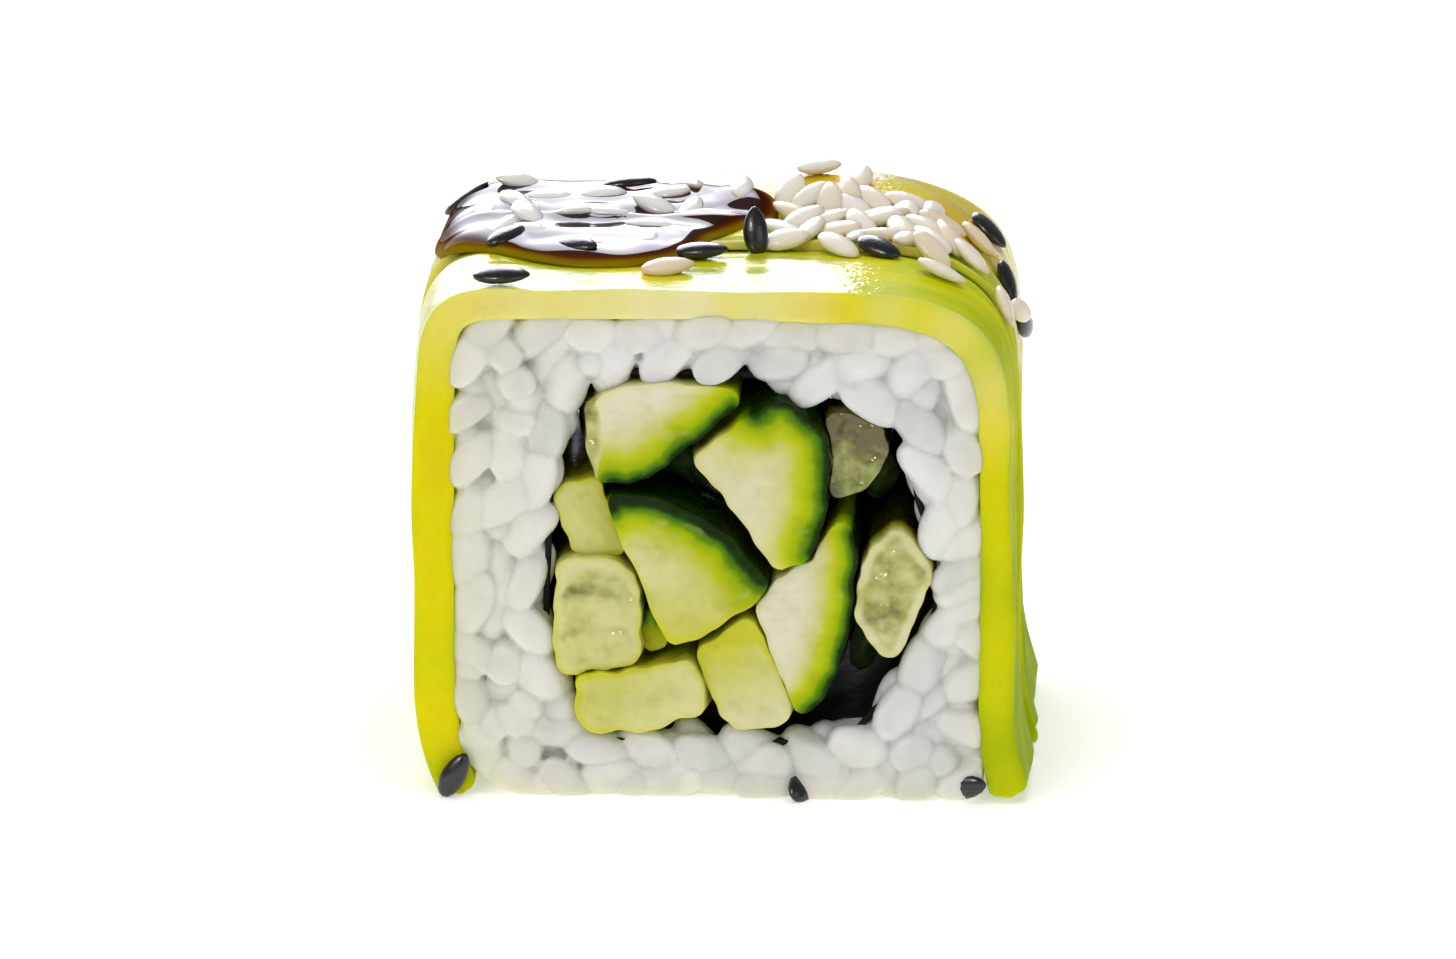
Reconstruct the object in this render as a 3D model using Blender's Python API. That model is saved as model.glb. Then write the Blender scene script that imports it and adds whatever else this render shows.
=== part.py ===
"""One slice of an inside-out sushi roll: rice round a nori tube of cucumber sticks, draped with two
avocado slices and a pool of thick sauce. +X is across the cut face, +Y runs along the roll from the
front face to the back one, and +Z is up. The origin is on the resting plane, under the slice's middle."""

import math

import bmesh
import bpy
import numpy as np
from mathutils import Vector

MM = 0.001

# Driving dimensions of the slice
LENGTH = 24.0 * MM  # along the roll, between the two cut faces
RICE_HALF_WIDTH = 16.7 * MM
RICE_HEIGHT = 31.9 * MM
GAP = 0.3 * MM  # left between neighbouring pieces

RICE_TOP_LEFT_RADIUS = 3.4 * MM
RICE_TOP_RIGHT_RADIUS = 6.2 * MM
RICE_BOTTOM_LEFT_RADIUS = 6.0 * MM
RICE_BOTTOM_RIGHT_RADIUS = 1.6 * MM
GRAIN_LENGTH = 6.0 * MM
GRAIN_WIDTH = 2.7 * MM
GRAIN_RELIEF = 0.5 * MM  # how far the grains stand out of a cut face

NORI_THICKNESS = 0.5 * MM
NORI_SET_BACK = 0.5 * MM  # the nori shrinks a little behind the rice face
FILLING_CENTRE = (1.2 * MM, 16.2 * MM)  # x and z of the filling's middle
FILLING_TWIST = math.radians(9.0)  # how far the filling turns from the front face to the back one

AVOCADO_EDGE_RADIUS = 0.45 * MM
FRONT_SLICE = (-12.0 * MM, 0.4 * MM)  # y range of the avocado slice at the front
BACK_SLICE = (-2.2 * MM, 12.0 * MM)  # its front edge laps over the front slice
LAP_RISE = (0.9 * MM, 3.2 * MM)  # y range over which the back slice steps down to the rice
BULGE_HEIGHT = 1.9 * MM  # the back slice is thicker here
BULGE_PLACE = (0.57, 9.0 * MM)  # share of the drape's length, and y, of the bulge's middle
BULGE_SPREAD = (0.07, 5.0 * MM)

SAUCE_DEPTH = 0.8 * MM
SAUCE_RIM = 0.2 * MM
# The pool's edge in millimetres: distance along the drape from the middle of the top, and y
SAUCE_CORNERS = [
    (-17.0, 0.6), (-17.4, 4.5), (-16.8, 8.5), (-14.8, 10.4), (-9.0, 10.9), (-4.0, 9.8), (-1.2, 8.2),
    (1.5, 7.0), (3.2, 5.2), (3.4, 3.2), (2.4, 1.2), (0.5, 0.2), (-0.6, -1.5), (-1.5, -4.2),
    (-3.0, -6.4), (-5.2, -7.6), (-7.5, -8.0), (-9.6, -7.7), (-12.0, -6.6), (-14.9, -5.0), (-16.6, -2.5),
]

# The nori tube's cross-section: corners of its inner wall as (x, z) in millimetres
NORI_CORNERS = [
    (-8.9, 26.9), (-5.6, 28.3), (1.6, 28.1), (7.2, 27.0), (12.0, 25.0), (12.7, 19.8),
    (14.6, 15.4), (12.6, 9.0), (8.4, 3.9), (0.6, 3.6), (-8.9, 3.8), (-10.9, 11.0), (-10.7, 19.0),
]

# Cucumber sticks. Each has its cross-section's corners as (x, z) in millimetres, clockwise from the
# upper left, and how far the front end stands proud of the rice face. Neighbours share a boundary,
# and each stick keeps half of the gap back from it.
STICKS = {
    "cucumber_top_left": dict(
        corners=[
            (-8.0, 26.0), (-7.1, 27.0), (-4.5, 27.7), (0.6, 27.4), (1.8, 26.8), (-0.4, 24.8),
            (-2.6, 22.9), (-4.2, 21.5), (-7.4, 21.3), (-8.1, 23.6)],
        proud=0.2),
    "cucumber_top_middle": dict(
        corners=[
            (-1.4, 22.8), (1.5, 25.3), (3.5, 26.6), (4.6, 26.6), (5.8, 25.7), (6.9, 24.2), (7.2, 22.8),
            (6.9, 19.6), (6.5, 17.7), (5.5, 16.3), (3.9, 15.5), (1.7, 18.8)],
        proud=0.4),
    "cucumber_centre": dict(
        corners=[
            (-7.0, 20.5), (-4.0, 20.3), (-1.1, 19.1), (1.0, 17.5), (2.9, 15.2), (3.4, 14.4), (2.2, 13.2),
            (-0.8, 11.2), (-2.8, 10.2), (-3.9, 12.5), (-4.9, 15.3), (-6.3, 18.4)],
        proud=0.5),
    "cucumber_right": dict(
        corners=[
            (2.5, 12.9), (3.9, 14.8), (6.2, 16.1), (7.2, 18.0), (8.4, 18.9), (8.8, 16.4), (8.7, 13.7),
            (8.3, 11.0), (7.6, 8.6), (6.8, 7.0), (5.6, 5.8), (5.1, 6.4), (4.1, 8.8), (3.2, 11.1)],
        proud=0.1),
    "cucumber_upper_left": dict(
        corners=[(-10.2, 19.9), (-9.4, 20.9), (-7.5, 21.0), (-7.2, 20.1), (-6.6, 18.3), (-5.5, 16.0),
                 (-9.0, 16.3), (-9.7, 18.0)],
        proud=-0.9),
    "cucumber_seed_left": dict(
        corners=[
            (-9.9, 15.8), (-8.0, 16.1), (-6.1, 15.8), (-5.2, 14.9), (-4.9, 12.8), (-4.9, 9.5),
            (-5.4, 8.9), (-9.9, 8.3), (-10.2, 10.0), (-10.1, 13.7)],
        proud=0.0),
    "cucumber_sliver": dict(
        corners=[(-4.6, 13.6), (-3.8, 11.6), (-3.0, 9.9), (-3.6, 9.5), (-4.7, 9.5)], proud=-1.4),
    "cucumber_bottom_left": dict(
        corners=[
            (-8.9, 8.1), (-5.4, 8.6), (-1.9, 9.3), (-1.3, 8.9), (-0.8, 7.3), (-0.8, 5.9), (-2.8, 5.1),
            (-4.6, 4.6), (-8.0, 4.5), (-8.7, 5.5)],
        proud=0.3),
    "cucumber_bottom_middle": dict(
        corners=[
            (-1.2, 9.8), (0.6, 11.1), (2.0, 12.3), (2.9, 11.1), (3.8, 8.8), (4.8, 6.3), (4.5, 5.4),
            (3.7, 4.9), (1.3, 4.5), (0.4, 5.5), (-0.5, 7.5)],
        proud=-0.2),
    "cucumber_seed_top": dict(
        corners=[
            (7.0, 25.5), (8.4, 25.5), (10.5, 24.7), (11.0, 23.1), (10.4, 21.7), (9.5, 20.6), (7.8, 20.0),
            (7.3, 20.4), (7.6, 22.8)],
        proud=-1.1),
    "cucumber_seed_right": dict(
        corners=[
            (11.6, 18.5), (12.9, 16.7), (13.7, 15.7), (13.6, 14.7), (12.6, 12.4), (12.0, 10.6),
            (11.0, 9.4), (10.1, 10.7), (9.1, 12.1), (9.1, 14.6), (9.8, 16.8)],
        proud=0.0),
    "cucumber_deep_middle": dict(
        corners=[(-3.7, 21.2), (-1.9, 22.5), (0.0, 20.6), (-1.0, 19.7)], proud=-4.0),
    "cucumber_deep_upper": dict(
        corners=[(9.4, 19.6), (11.0, 21.6), (11.6, 19.8), (11.0, 18.7), (9.6, 17.5)], proud=-6.0),
    "cucumber_deep_lower": dict(
        corners=[(8.9, 11.2), (9.6, 10.7), (10.6, 9.1), (9.3, 7.0), (7.8, 6.1), (8.2, 8.6)], proud=-6.0),
}
STICK_CORNER_RADIUS = 0.3 * MM
ARC_STEPS = 4

COLOURS = {  # linear RGB, roughness
    "rice": ((0.68, 0.68, 0.65), 0.45),
    "nori": ((0.006, 0.010, 0.006), 0.4),
    "cucumber": ((0.60, 0.62, 0.28), 0.3),
    "avocado": ((0.50, 0.55, 0.03), 0.3),
    "sauce": ((0.03, 0.008, 0.002), 0.1),
}


def clear_scene():
    for obj in list(bpy.data.objects):
        bpy.data.objects.remove(obj, do_unlink=True)


def material(name):
    found = bpy.data.materials.get(name)
    if found:
        return found
    colour, roughness = COLOURS[name]
    made = bpy.data.materials.new(name)
    made.use_nodes = True
    shader = made.node_tree.nodes["Principled BSDF"]
    shader.inputs["Base Color"].default_value = (*colour, 1.0)
    shader.inputs["Roughness"].default_value = roughness
    shader.inputs["Metallic"].default_value = 0.0
    made.diffuse_color = (*colour, 1.0)
    return made


def add_solid(name, points, faces, finish):
    """A closed mesh object whose faces all point outwards."""
    mesh = bpy.data.meshes.new(name)
    mesh.from_pydata([tuple(p) for p in points], [], faces)
    shell = bmesh.new()
    shell.from_mesh(mesh)
    bmesh.ops.recalc_face_normals(shell, faces=shell.faces)
    shell.to_mesh(mesh)
    shell.free()
    mesh.materials.append(material(finish))
    mesh.shade_smooth()
    mesh.set_sharp_from_angle(angle=math.radians(35.0))
    obj = bpy.data.objects.new(name, mesh)
    bpy.context.scene.collection.objects.link(obj)
    return obj


def smoothstep(low, high, value):
    t = np.clip((value - low) / (high - low), 0.0, 1.0)
    return t * t * (3.0 - 2.0 * t)


def rounded_polygon(corners, radius, steps=ARC_STEPS):
    """The closed polygon with each corner replaced by an arc; radius is one value or one per corner."""
    corners = np.asarray(corners, float)
    radii = np.broadcast_to(radius, len(corners))
    outline = []
    for i, corner in enumerate(corners):
        before = corners[i - 1] - corner
        after = corners[(i + 1) % len(corners)] - corner
        reach = 0.45 * min(np.linalg.norm(before), np.linalg.norm(after))
        before /= np.linalg.norm(before)
        after /= np.linalg.norm(after)
        half = 0.5 * math.acos(np.clip(before @ after, -1.0, 1.0))
        cut = min(radii[i] / math.tan(half), reach)
        start, end = corner + before * cut, corner + after * cut
        for t in np.linspace(0.0, 1.0, steps + 1):
            outline.append((1 - t) ** 2 * start + 2 * t * (1 - t) * corner + t**2 * end)
    return np.array(outline)


def offset_polygon(corners, distance):
    """A clockwise polygon with every side moved inwards by distance."""
    corners = np.asarray(corners, float)
    moved = []
    for i, corner in enumerate(corners):
        before = corner - corners[i - 1]
        after = corners[(i + 1) % len(corners)] - corner
        inward_a = np.array([before[1], -before[0]]) / np.linalg.norm(before)
        inward_b = np.array([after[1], -after[0]]) / np.linalg.norm(after)
        bisector = inward_a + inward_b
        moved.append(corner + bisector * distance / (0.5 * bisector @ bisector))
    return np.array(moved)


def resampled(outline, count):
    """Points evenly spaced along a closed outline."""
    closed = np.vstack([outline, outline[:1]])
    along = np.concatenate([[0.0], np.cumsum(np.linalg.norm(np.diff(closed, axis=0), axis=1))])
    at = np.linspace(0.0, along[-1], count, endpoint=False)
    return np.stack([np.interp(at, along, closed[:, k]) for k in (0, 1)], axis=1)


def twisted(section, y):
    """A cross-section of the filling, turned about the filling's middle by its place along the roll."""
    angle = FILLING_TWIST * (y / LENGTH + 0.5)
    centre = np.array(FILLING_CENTRE)
    turn = np.array([[math.cos(angle), -math.sin(angle)], [math.sin(angle), math.cos(angle)]])
    return (section - centre) @ turn.T + centre


def prism(name, sections, stations, finish):
    """A solid through cross-sections of equal length, one for each station along Y, with flat ends."""
    count = len(sections[0])
    points = [(x, y, z) for section, y in zip(sections, stations) for x, z in section]
    faces = []
    for row in range(len(stations) - 1):
        for i in range(count):
            j = (i + 1) % count
            a = row * count
            faces.append((a + i, a + j, a + count + j, a + count + i))
    last = (len(stations) - 1) * count
    faces.append(tuple(range(count)))
    faces.append(tuple(last + i for i in range(count)))
    return add_solid(name, points, faces, finish)


def nori_section(outset, count):
    corners = offset_polygon(np.array(NORI_CORNERS) * MM, -outset)
    return resampled(rounded_polygon(corners, 2.0 * MM), count)


def nori_tube():
    count, rows = 56, 4
    stations = np.linspace(-LENGTH / 2 + NORI_SET_BACK, LENGTH / 2 - NORI_SET_BACK, rows)
    points, faces = [], []
    for outset in (0.0, NORI_THICKNESS):
        section = nori_section(outset, count)
        for y in stations:
            points += [(x, y, z) for x, z in twisted(section, y)]
    wall = rows * count
    for row in range(rows - 1):
        for i in range(count):
            j = (i + 1) % count
            a = row * count
            b = a + count
            faces.append((a + i, a + j, b + j, b + i))
            faces.append((wall + a + i, wall + b + i, wall + b + j, wall + a + j))
    for a in (0, wall - count):
        for i in range(count):
            j = (i + 1) % count
            faces.append((a + i, wall + a + i, wall + a + j, a + j))
    return add_solid("nori", points, faces, "nori")


def cucumber_stick(name, corners, proud):
    outline = offset_polygon(np.array(corners) * MM, GAP / 2)
    section = rounded_polygon(outline, STICK_CORNER_RADIUS, steps=1)
    stations = np.linspace(-LENGTH / 2 - proud * MM, LENGTH / 2 + 0.4 * proud * MM, 3)
    return prism(name, [twisted(section, y) for y in stations], stations, "cucumber")


def rice_outline(count, outset=0.0):
    """The rice block's outline in a cut face, clockwise from the middle of its left side."""
    half = RICE_HALF_WIDTH + outset
    top = RICE_HEIGHT + outset
    corners = [
        (-half, 0.0), (-half - 0.2 * MM, 0.5 * top), (-half, top), (0.0, top + 0.2 * MM),
        (half, top), (half + 0.1 * MM, 0.5 * top), (half, 0.0), (0.0, 0.0),
    ]
    left = RICE_TOP_LEFT_RADIUS + outset
    right = RICE_TOP_RIGHT_RADIUS + outset
    radii = [RICE_BOTTOM_LEFT_RADIUS, 0.0, left, 0.0, right, 0.0, RICE_BOTTOM_RIGHT_RADIUS, 0.0]
    return resampled(rounded_polygon(corners, radii, steps=8), count)


def grain_relief(seed):
    """A height function over the cut face: the tallest of many seeded ellipsoid grains."""
    random = np.random.default_rng(seed)
    grains = 230
    centres = np.stack([
        random.uniform(-RICE_HALF_WIDTH, RICE_HALF_WIDTH, grains),
        random.uniform(0.0, RICE_HEIGHT, grains),
    ], axis=1)
    angles = random.uniform(0.0, math.pi, grains)

    def height(section):
        offset = section[:, None, :] - centres[None, :, :]
        along = offset[..., 0] * np.cos(angles) + offset[..., 1] * np.sin(angles)
        across = offset[..., 1] * np.cos(angles) - offset[..., 0] * np.sin(angles)
        spread = (2.0 * along / GRAIN_LENGTH) ** 2 + (2.0 * across / GRAIN_WIDTH) ** 2
        return GRAIN_RELIEF * np.sqrt(np.clip(1.0 - spread, 0.0, 1.0)).max(axis=1)

    return height


def rice_block():
    """The ring of rice between the nori and the avocado, with grain relief on both cut faces."""
    count, rings = 84, 6
    outer = rice_outline(count)
    inner = nori_section(NORI_THICKNESS + GAP, count)
    start = np.argmin(np.linalg.norm(inner - outer[0], axis=1))
    inner = np.roll(inner, -start, axis=0)
    flat = LENGTH / 2 - GRAIN_RELIEF - 0.1 * MM
    layers = []  # closed loops of points, from the front face's hole round to the back face's hole
    for side, seed in ((-1.0, 3), (1.0, 8)):
        relief = grain_relief(seed)
        hole = twisted(inner, side * LENGTH / 2)
        face = []
        for t in np.linspace(0.0, 1.0, rings):
            section = hole * (1.0 - t) + outer * t
            edge = math.sin(math.pi * (0.15 + 0.7 * t))
            depth = side * (flat + relief(section) * edge)
            face.append(np.stack([section[:, 0], depth, section[:, 1]], axis=1))
        layers += face if side < 0 else face[::-1]
    for y in np.linspace(flat, -flat, 4)[1:-1]:  # the wall of the hole, back to front
        section = twisted(inner, y)
        layers.append(np.stack([section[:, 0], np.full(count, y), section[:, 1]], axis=1))
    faces = []
    for layer in range(len(layers)):
        a, b = layer * count, (layer + 1) % len(layers) * count
        for i in range(count):
            j = (i + 1) % count
            faces.append((a + i, a + j, b + j, b + i))
    return add_solid("rice", np.concatenate(layers), faces, "rice")


def even_turning(line, count):
    """Points along an open line, placed so that the bends get as many as the straight runs."""
    steps = np.diff(line, axis=0)
    run = np.concatenate([[0.0], np.cumsum(np.linalg.norm(steps, axis=1))])
    heading = np.unwrap(np.arctan2(steps[:, 1], steps[:, 0]))
    turned = np.concatenate([[0.0, 0.0], np.cumsum(np.abs(np.diff(heading)))])
    busy = run / run[-1] + turned / turned[-1]
    at = np.interp(np.linspace(0.0, busy[-1], count), busy, run)
    return np.stack([np.interp(at, run, line[:, k]) for k in (0, 1)], axis=1), at / run[-1]


def drape_path(count):
    """The avocado's inner line over the rice, from the left foot over the top to the right foot:
    points, outward normals and each point's share of the whole length."""
    half = RICE_HALF_WIDTH + GAP
    top = RICE_HEIGHT + GAP
    corners = [
        (-half + 1.3 * MM, 0.5 * MM), (-half - 0.05 * MM, 5.0 * MM), (-half - 0.15 * MM, 0.5 * top),
        (-half - 0.05 * MM, top + 0.05 * MM), (0.0, top + 0.2 * MM), (half + 0.05 * MM, top + 0.05 * MM),
        (half + 0.15 * MM, 0.5 * top), (half + 0.1 * MM, 5.0 * MM), (half + 0.6 * MM, 0.4 * MM),
    ]
    radii = [0.01, 6.0, 9.0, 0.0, 9.0, 0.0, 9.0, 8.0, 0.01]
    radii[3] = RICE_TOP_LEFT_RADIUS / MM
    radii[5] = RICE_TOP_RIGHT_RADIUS / MM
    steps = 12
    line = rounded_polygon(corners, np.array(radii) * MM, steps)[steps:-steps]
    path, share = even_turning(line, count)
    tangent = np.gradient(path, axis=0)
    tangent /= np.linalg.norm(tangent, axis=1)[:, None]
    return path, np.stack([-tangent[:, 1], tangent[:, 0]], axis=1), share


def avocado_thickness(share):
    """Thicker at both feet and down the left side, thinnest over the top."""
    stops = (0.0, 0.05, 0.3, 0.38, 0.55, 0.68, 0.8, 0.93, 1.0)
    sizes = (1.9, 2.3, 2.1, 1.5, 1.35, 1.7, 1.4, 1.6, 2.2)
    return np.interp(share, stops, sizes) * MM


def front_height(share, y):
    """The front slice thins towards its back edge, where the back slice laps over it."""
    return avocado_thickness(share) * (1.0 - 0.5 * smoothstep(-7.0 * MM, -1.0 * MM, y))


def back_base(share, y):
    """The back slice's underside: over the front slice first, then down on the rice."""
    return (front_height(share, y) + GAP) * (1.0 - smoothstep(*LAP_RISE, y))


def back_height(share, y):
    """The back slice's outer surface, with its thin front edge and its bulge."""
    spread = ((share - BULGE_PLACE[0]) / BULGE_SPREAD[0]) ** 2 + ((y - BULGE_PLACE[1]) / BULGE_SPREAD[1]) ** 2
    thin = 0.4 + 0.6 * smoothstep(-0.5 * MM, 4.5 * MM, y)
    return back_base(share, y) + avocado_thickness(share) * thin + BULGE_HEIGHT * np.exp(-spread)


def slice_section(low, high, between):
    """A slice's cross-section as (y, level) anticlockwise with rounded edges: level 0 is its inner
    surface and level 1 its outer one."""
    centres = [(low, 0.0), (high, 0.0), (high, 1.0), (low, 1.0)]
    section = []
    for corner, (y, level) in enumerate(centres):
        middle = y + (AVOCADO_EDGE_RADIUS if y == low else -AVOCADO_EDGE_RADIUS)
        rise = 0.28 if level == 0.0 else 0.72
        for step in range(3):
            angle = math.pi * (1.0 + 0.5 * corner + 0.25 * step)
            section.append((middle + AVOCADO_EDGE_RADIUS * math.cos(angle), rise + 0.28 * math.sin(angle)))
        if corner in (0, 2):
            section += [(m * MM, level) for m in (between if corner == 0 else between[::-1])]
    return section


def avocado_slice(name, y_range, between, inner, outer):
    """One slice draped over the rice: its cross-section carried along the drape path."""
    count = 40
    path, normal, share = drape_path(count)
    section = slice_section(*y_range, between)
    rows = []
    for y, level in section:
        height = inner(share, y) * (1.0 - level) + outer(share, y) * level
        place = path + normal * height[:, None]
        rows.append(np.stack([place[:, 0], np.full(count, y), np.maximum(place[:, 1], 0.05 * MM)], axis=1))
    points = np.stack(rows, axis=1).reshape(-1, 3)
    around = len(section)
    faces = []
    for i in range(count - 1):
        for j in range(around):
            k = (j + 1) % around
            a = i * around
            faces.append((a + j, a + k, a + around + k, a + around + j))
    faces.append(tuple(range(around)))
    faces.append(tuple((count - 1) * around + j for j in range(around)))
    return add_solid(name, points, faces, "avocado")


def topping_height(share, y):
    """The avocado's outer surface, easing up before the step where the back slice begins."""
    step = smoothstep(BACK_SLICE[0] - 1.9 * MM, BACK_SLICE[0] - 0.3 * MM, y)
    return front_height(share, y) * (1.0 - step) + back_height(share, y) * step


def sauce_pool():
    """The pool of sauce: a rounded, uneven patch that follows the avocado's outer surface."""
    around, rings = 40, 8
    path, normal, share = drape_path(400)
    length = np.linalg.norm(np.diff(path, axis=0), axis=1).sum()
    top = share[np.argmin(np.abs(path[:, 0]) + np.where(path[:, 1] < RICE_HEIGHT / 2, 1.0, 0.0))]
    edge = resampled(rounded_polygon(np.array(SAUCE_CORNERS) * MM, 2.0 * MM), around)
    middle = edge.mean(axis=0)
    lower, upper = [], []
    for t in np.linspace(0.0, 1.0, rings):
        ground = middle + (edge - middle) * t
        along = top + ground[:, 0] / length
        y = ground[:, 1]
        base = topping_height(along, y) + 1.5 * GAP
        dome = SAUCE_RIM + SAUCE_DEPTH * math.sqrt(max(0.0, 1.0 - t**3))
        for height, sheet in ((base, lower), (base + dome, upper)):
            x = np.interp(along, share, path[:, 0]) + np.interp(along, share, normal[:, 0]) * height
            z = np.interp(along, share, path[:, 1]) + np.interp(along, share, normal[:, 1]) * height
            sheet.append(np.stack([x, y, z], axis=1))
    points = np.concatenate([lower[0][:1], upper[0][:1]] + lower[1:] + upper[1:])
    faces = []
    for level, first in ((0, 2), (1, 2 + (rings - 1) * around)):
        for i in range(around):
            faces.append((level, first + i, first + (i + 1) % around))
        for ring in range(rings - 2):
            a = first + ring * around
            for i in range(around):
                j = (i + 1) % around
                faces.append((a + i, a + j, a + around + j, a + around + i))
    low, high = 2 + (rings - 2) * around, 2 + (2 * rings - 3) * around
    for i in range(around):
        j = (i + 1) % around
        faces.append((low + i, low + j, high + j, high + i))
    return add_solid("sauce", points, faces, "sauce")


def settle():
    """Moves everything together so that the whole's box is centred over the origin."""
    meshes = [obj.data for obj in bpy.context.scene.objects]
    corners = np.array([vertex.co for mesh in meshes for vertex in mesh.vertices])
    low, high = corners.min(axis=0), corners.max(axis=0)
    shift = np.array([-(low[0] + high[0]) / 2, -(low[1] + high[1]) / 2, -low[2]])
    for mesh in meshes:
        for vertex in mesh.vertices:
            vertex.co += Vector(shift)


def main():
    clear_scene()
    rice_block()
    nori_tube()
    for name, stick in STICKS.items():
        cucumber_stick(name, **stick)
    avocado_slice("avocado_front", FRONT_SLICE, (-8.0, -4.5, -2.0), lambda share, y: 0.0 * share, front_height)
    avocado_slice("avocado_back", BACK_SLICE, (-0.6, 0.9, 2.4, 4.5, 8.5), back_base, back_height)
    sauce_pool()
    settle()


main()
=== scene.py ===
import math

import bpy
import bmesh
import numpy as np
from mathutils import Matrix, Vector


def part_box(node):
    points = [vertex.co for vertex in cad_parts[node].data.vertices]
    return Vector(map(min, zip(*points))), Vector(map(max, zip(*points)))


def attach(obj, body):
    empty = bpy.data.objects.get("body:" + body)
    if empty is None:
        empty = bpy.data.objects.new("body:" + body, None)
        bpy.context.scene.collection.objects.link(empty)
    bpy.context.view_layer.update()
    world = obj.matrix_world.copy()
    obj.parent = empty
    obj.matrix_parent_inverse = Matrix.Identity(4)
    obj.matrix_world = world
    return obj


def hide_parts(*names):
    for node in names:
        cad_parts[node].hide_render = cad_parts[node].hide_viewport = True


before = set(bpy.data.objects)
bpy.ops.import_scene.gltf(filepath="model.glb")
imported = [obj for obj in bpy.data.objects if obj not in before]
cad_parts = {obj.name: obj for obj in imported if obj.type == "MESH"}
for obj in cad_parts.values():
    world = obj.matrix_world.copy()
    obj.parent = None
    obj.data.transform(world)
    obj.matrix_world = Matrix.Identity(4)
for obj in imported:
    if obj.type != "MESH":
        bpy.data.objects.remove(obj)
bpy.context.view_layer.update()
mm = 0.001
print("frame loaded")

slicePlan = {
    "leftSide": -16.9,  # x of the rice's left side
    "length": 24.0,  # between the two cut faces
    "fillingMiddle": (1.2, 16.2),  # x and z that the filling turns about
    "fillingTwist": 9.0,  # degrees from the front face to the back one
    "rounding": 1.6,  # how widely the corners of the rice and of its hole are rounded
    "riceCorners": [  # the rice block's outline, clockwise from the left foot
        (-13.6, 0.0), (-16.2, 2.2), (-16.9, 6.5), (-17.0, 16.0), (-16.9, 27.5), (-16.8, 32.1), (-8.0, 32.2),
        (3.0, 32.25), (12.3, 32.0), (16.0, 30.4), (16.9, 26.5), (17.1, 16.0), (17.0, 6.0), (17.1, 0.0),
    ],
    "noriCorners": [  # the nori tube's inner wall in the front face, clockwise from the upper left
        (-8.9, 26.9), (-5.6, 28.3), (1.6, 28.1), (7.2, 27.0), (12.0, 25.0), (12.7, 19.8), (14.6, 15.4),
        (12.6, 9.0), (8.4, 3.9), (0.6, 3.6), (-8.9, 3.8), (-10.9, 11.0), (-10.7, 19.0),
    ],
    "drapeCorners": [  # the avocado's inner line, from the left foot over the top to the right foot
        (-15.6, 0.25), (-16.7, 2.6), (-17.1, 6.5), (-17.15, 16.0), (-17.05, 27.5), (-16.95, 32.25),
        (-8.0, 32.4), (3.0, 32.45), (12.4, 32.2), (16.2, 30.5), (17.1, 26.5), (17.3, 16.0), (17.15, 6.0),
        (17.3, 2.8), (18.0, 0.25),
    ],
}
middleX, middleZ = slicePlan["fillingMiddle"]
halfLength = slicePlan["length"] / 2

# Shapes are worked out in millimetres about the slice's own middle, then set down in the frame.
riceLow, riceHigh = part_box("rice")
offset = np.array([riceLow.x / mm - slicePlan["leftSide"], (riceLow.y + riceHigh.y) / 2 / mm, 0.0])


# An sRGB hex colour as linear red, green, blue, alpha.
def linear(code):
    srgb = np.array([int(code[i:i + 2], 16) for i in (0, 2, 4)]) / 255.0
    value = np.where(srgb <= 0.04045, srgb / 12.92, ((srgb + 0.055) / 1.055) ** 2.4)
    return (*value.tolist(), 1.0)


# 0 below low, 1 above high, and a smooth S between: 3t^2 - 2t^3.
def ease(low, high, value):
    t = np.clip((value - low) / (high - low), 0.0, 1.0)
    return t * t * (3.0 - 2.0 * t)


# Vectors brought to a length of 1.
def unit(vectors):
    return vectors / np.linalg.norm(vectors, axis=-1, keepdims=True)


# Smooth noise: a sum of plane waves in random directions, with wavelengths near size. It is evened
# out so that it seldom passes -1 or 1.
def ripple(points, size, seed, count=14):
    random = np.random.default_rng(seed)
    way = unit(random.normal(size=(count, points.shape[-1])))
    pace = 2.0 * np.pi / (size * random.uniform(0.6, 1.6, count))
    phase = random.uniform(0.0, 2.0 * np.pi, count)
    waves = np.sin((points @ (way * pace[:, None]).T) + phase)
    return waves.sum(axis=-1) * math.sqrt(2.0 / count) * 0.6


# A line walked in count even steps, and its length.
def walked(line, count, closed):
    line = np.vstack([line, line[:1]]) if closed else line
    run = np.concatenate([[0.0], np.cumsum(np.linalg.norm(np.diff(line, axis=0), axis=1))])
    at = np.linspace(0.0, run[-1], count, endpoint=not closed)
    return np.stack([np.interp(at, run, line[:, k]) for k in (0, 1)], axis=1), run[-1]


# A polygon's corners rounded by a running average: the line is walked in even steps, each point
# becomes the bell-weighted mean of its neighbours within about radius, and count points are kept.
# An open line is carried on past each end by itself, turned half round.
def rounded(corners, radius, count, closed):
    fine, length = walked(np.asarray(corners, float), 1200, closed)
    step = length / len(fine)
    reach, spread = max(1, int(1.5 * radius / step)), 0.6 * radius
    bell = np.exp(-0.5 * (np.arange(-reach, reach + 1) * step / spread) ** 2)
    bell /= bell.sum()
    if closed:
        padded = np.concatenate([fine[-reach:], fine, fine[:reach]])
    else:
        before = 2.0 * fine[0] - fine[reach:0:-1]
        after = 2.0 * fine[-1] - fine[-2:-reach - 2:-1]
        padded = np.concatenate([before, fine, after])
    soft = np.stack([np.convolve(padded[:, k], bell, mode="valid") for k in (0, 1)], axis=1)
    return walked(soft, count, closed)[0]


# How far each of the points lies from the nearest point of a line.
def lineDistance(points, line):
    return np.linalg.norm(points[..., None, :] - line, axis=-1).min(axis=-1)


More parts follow.
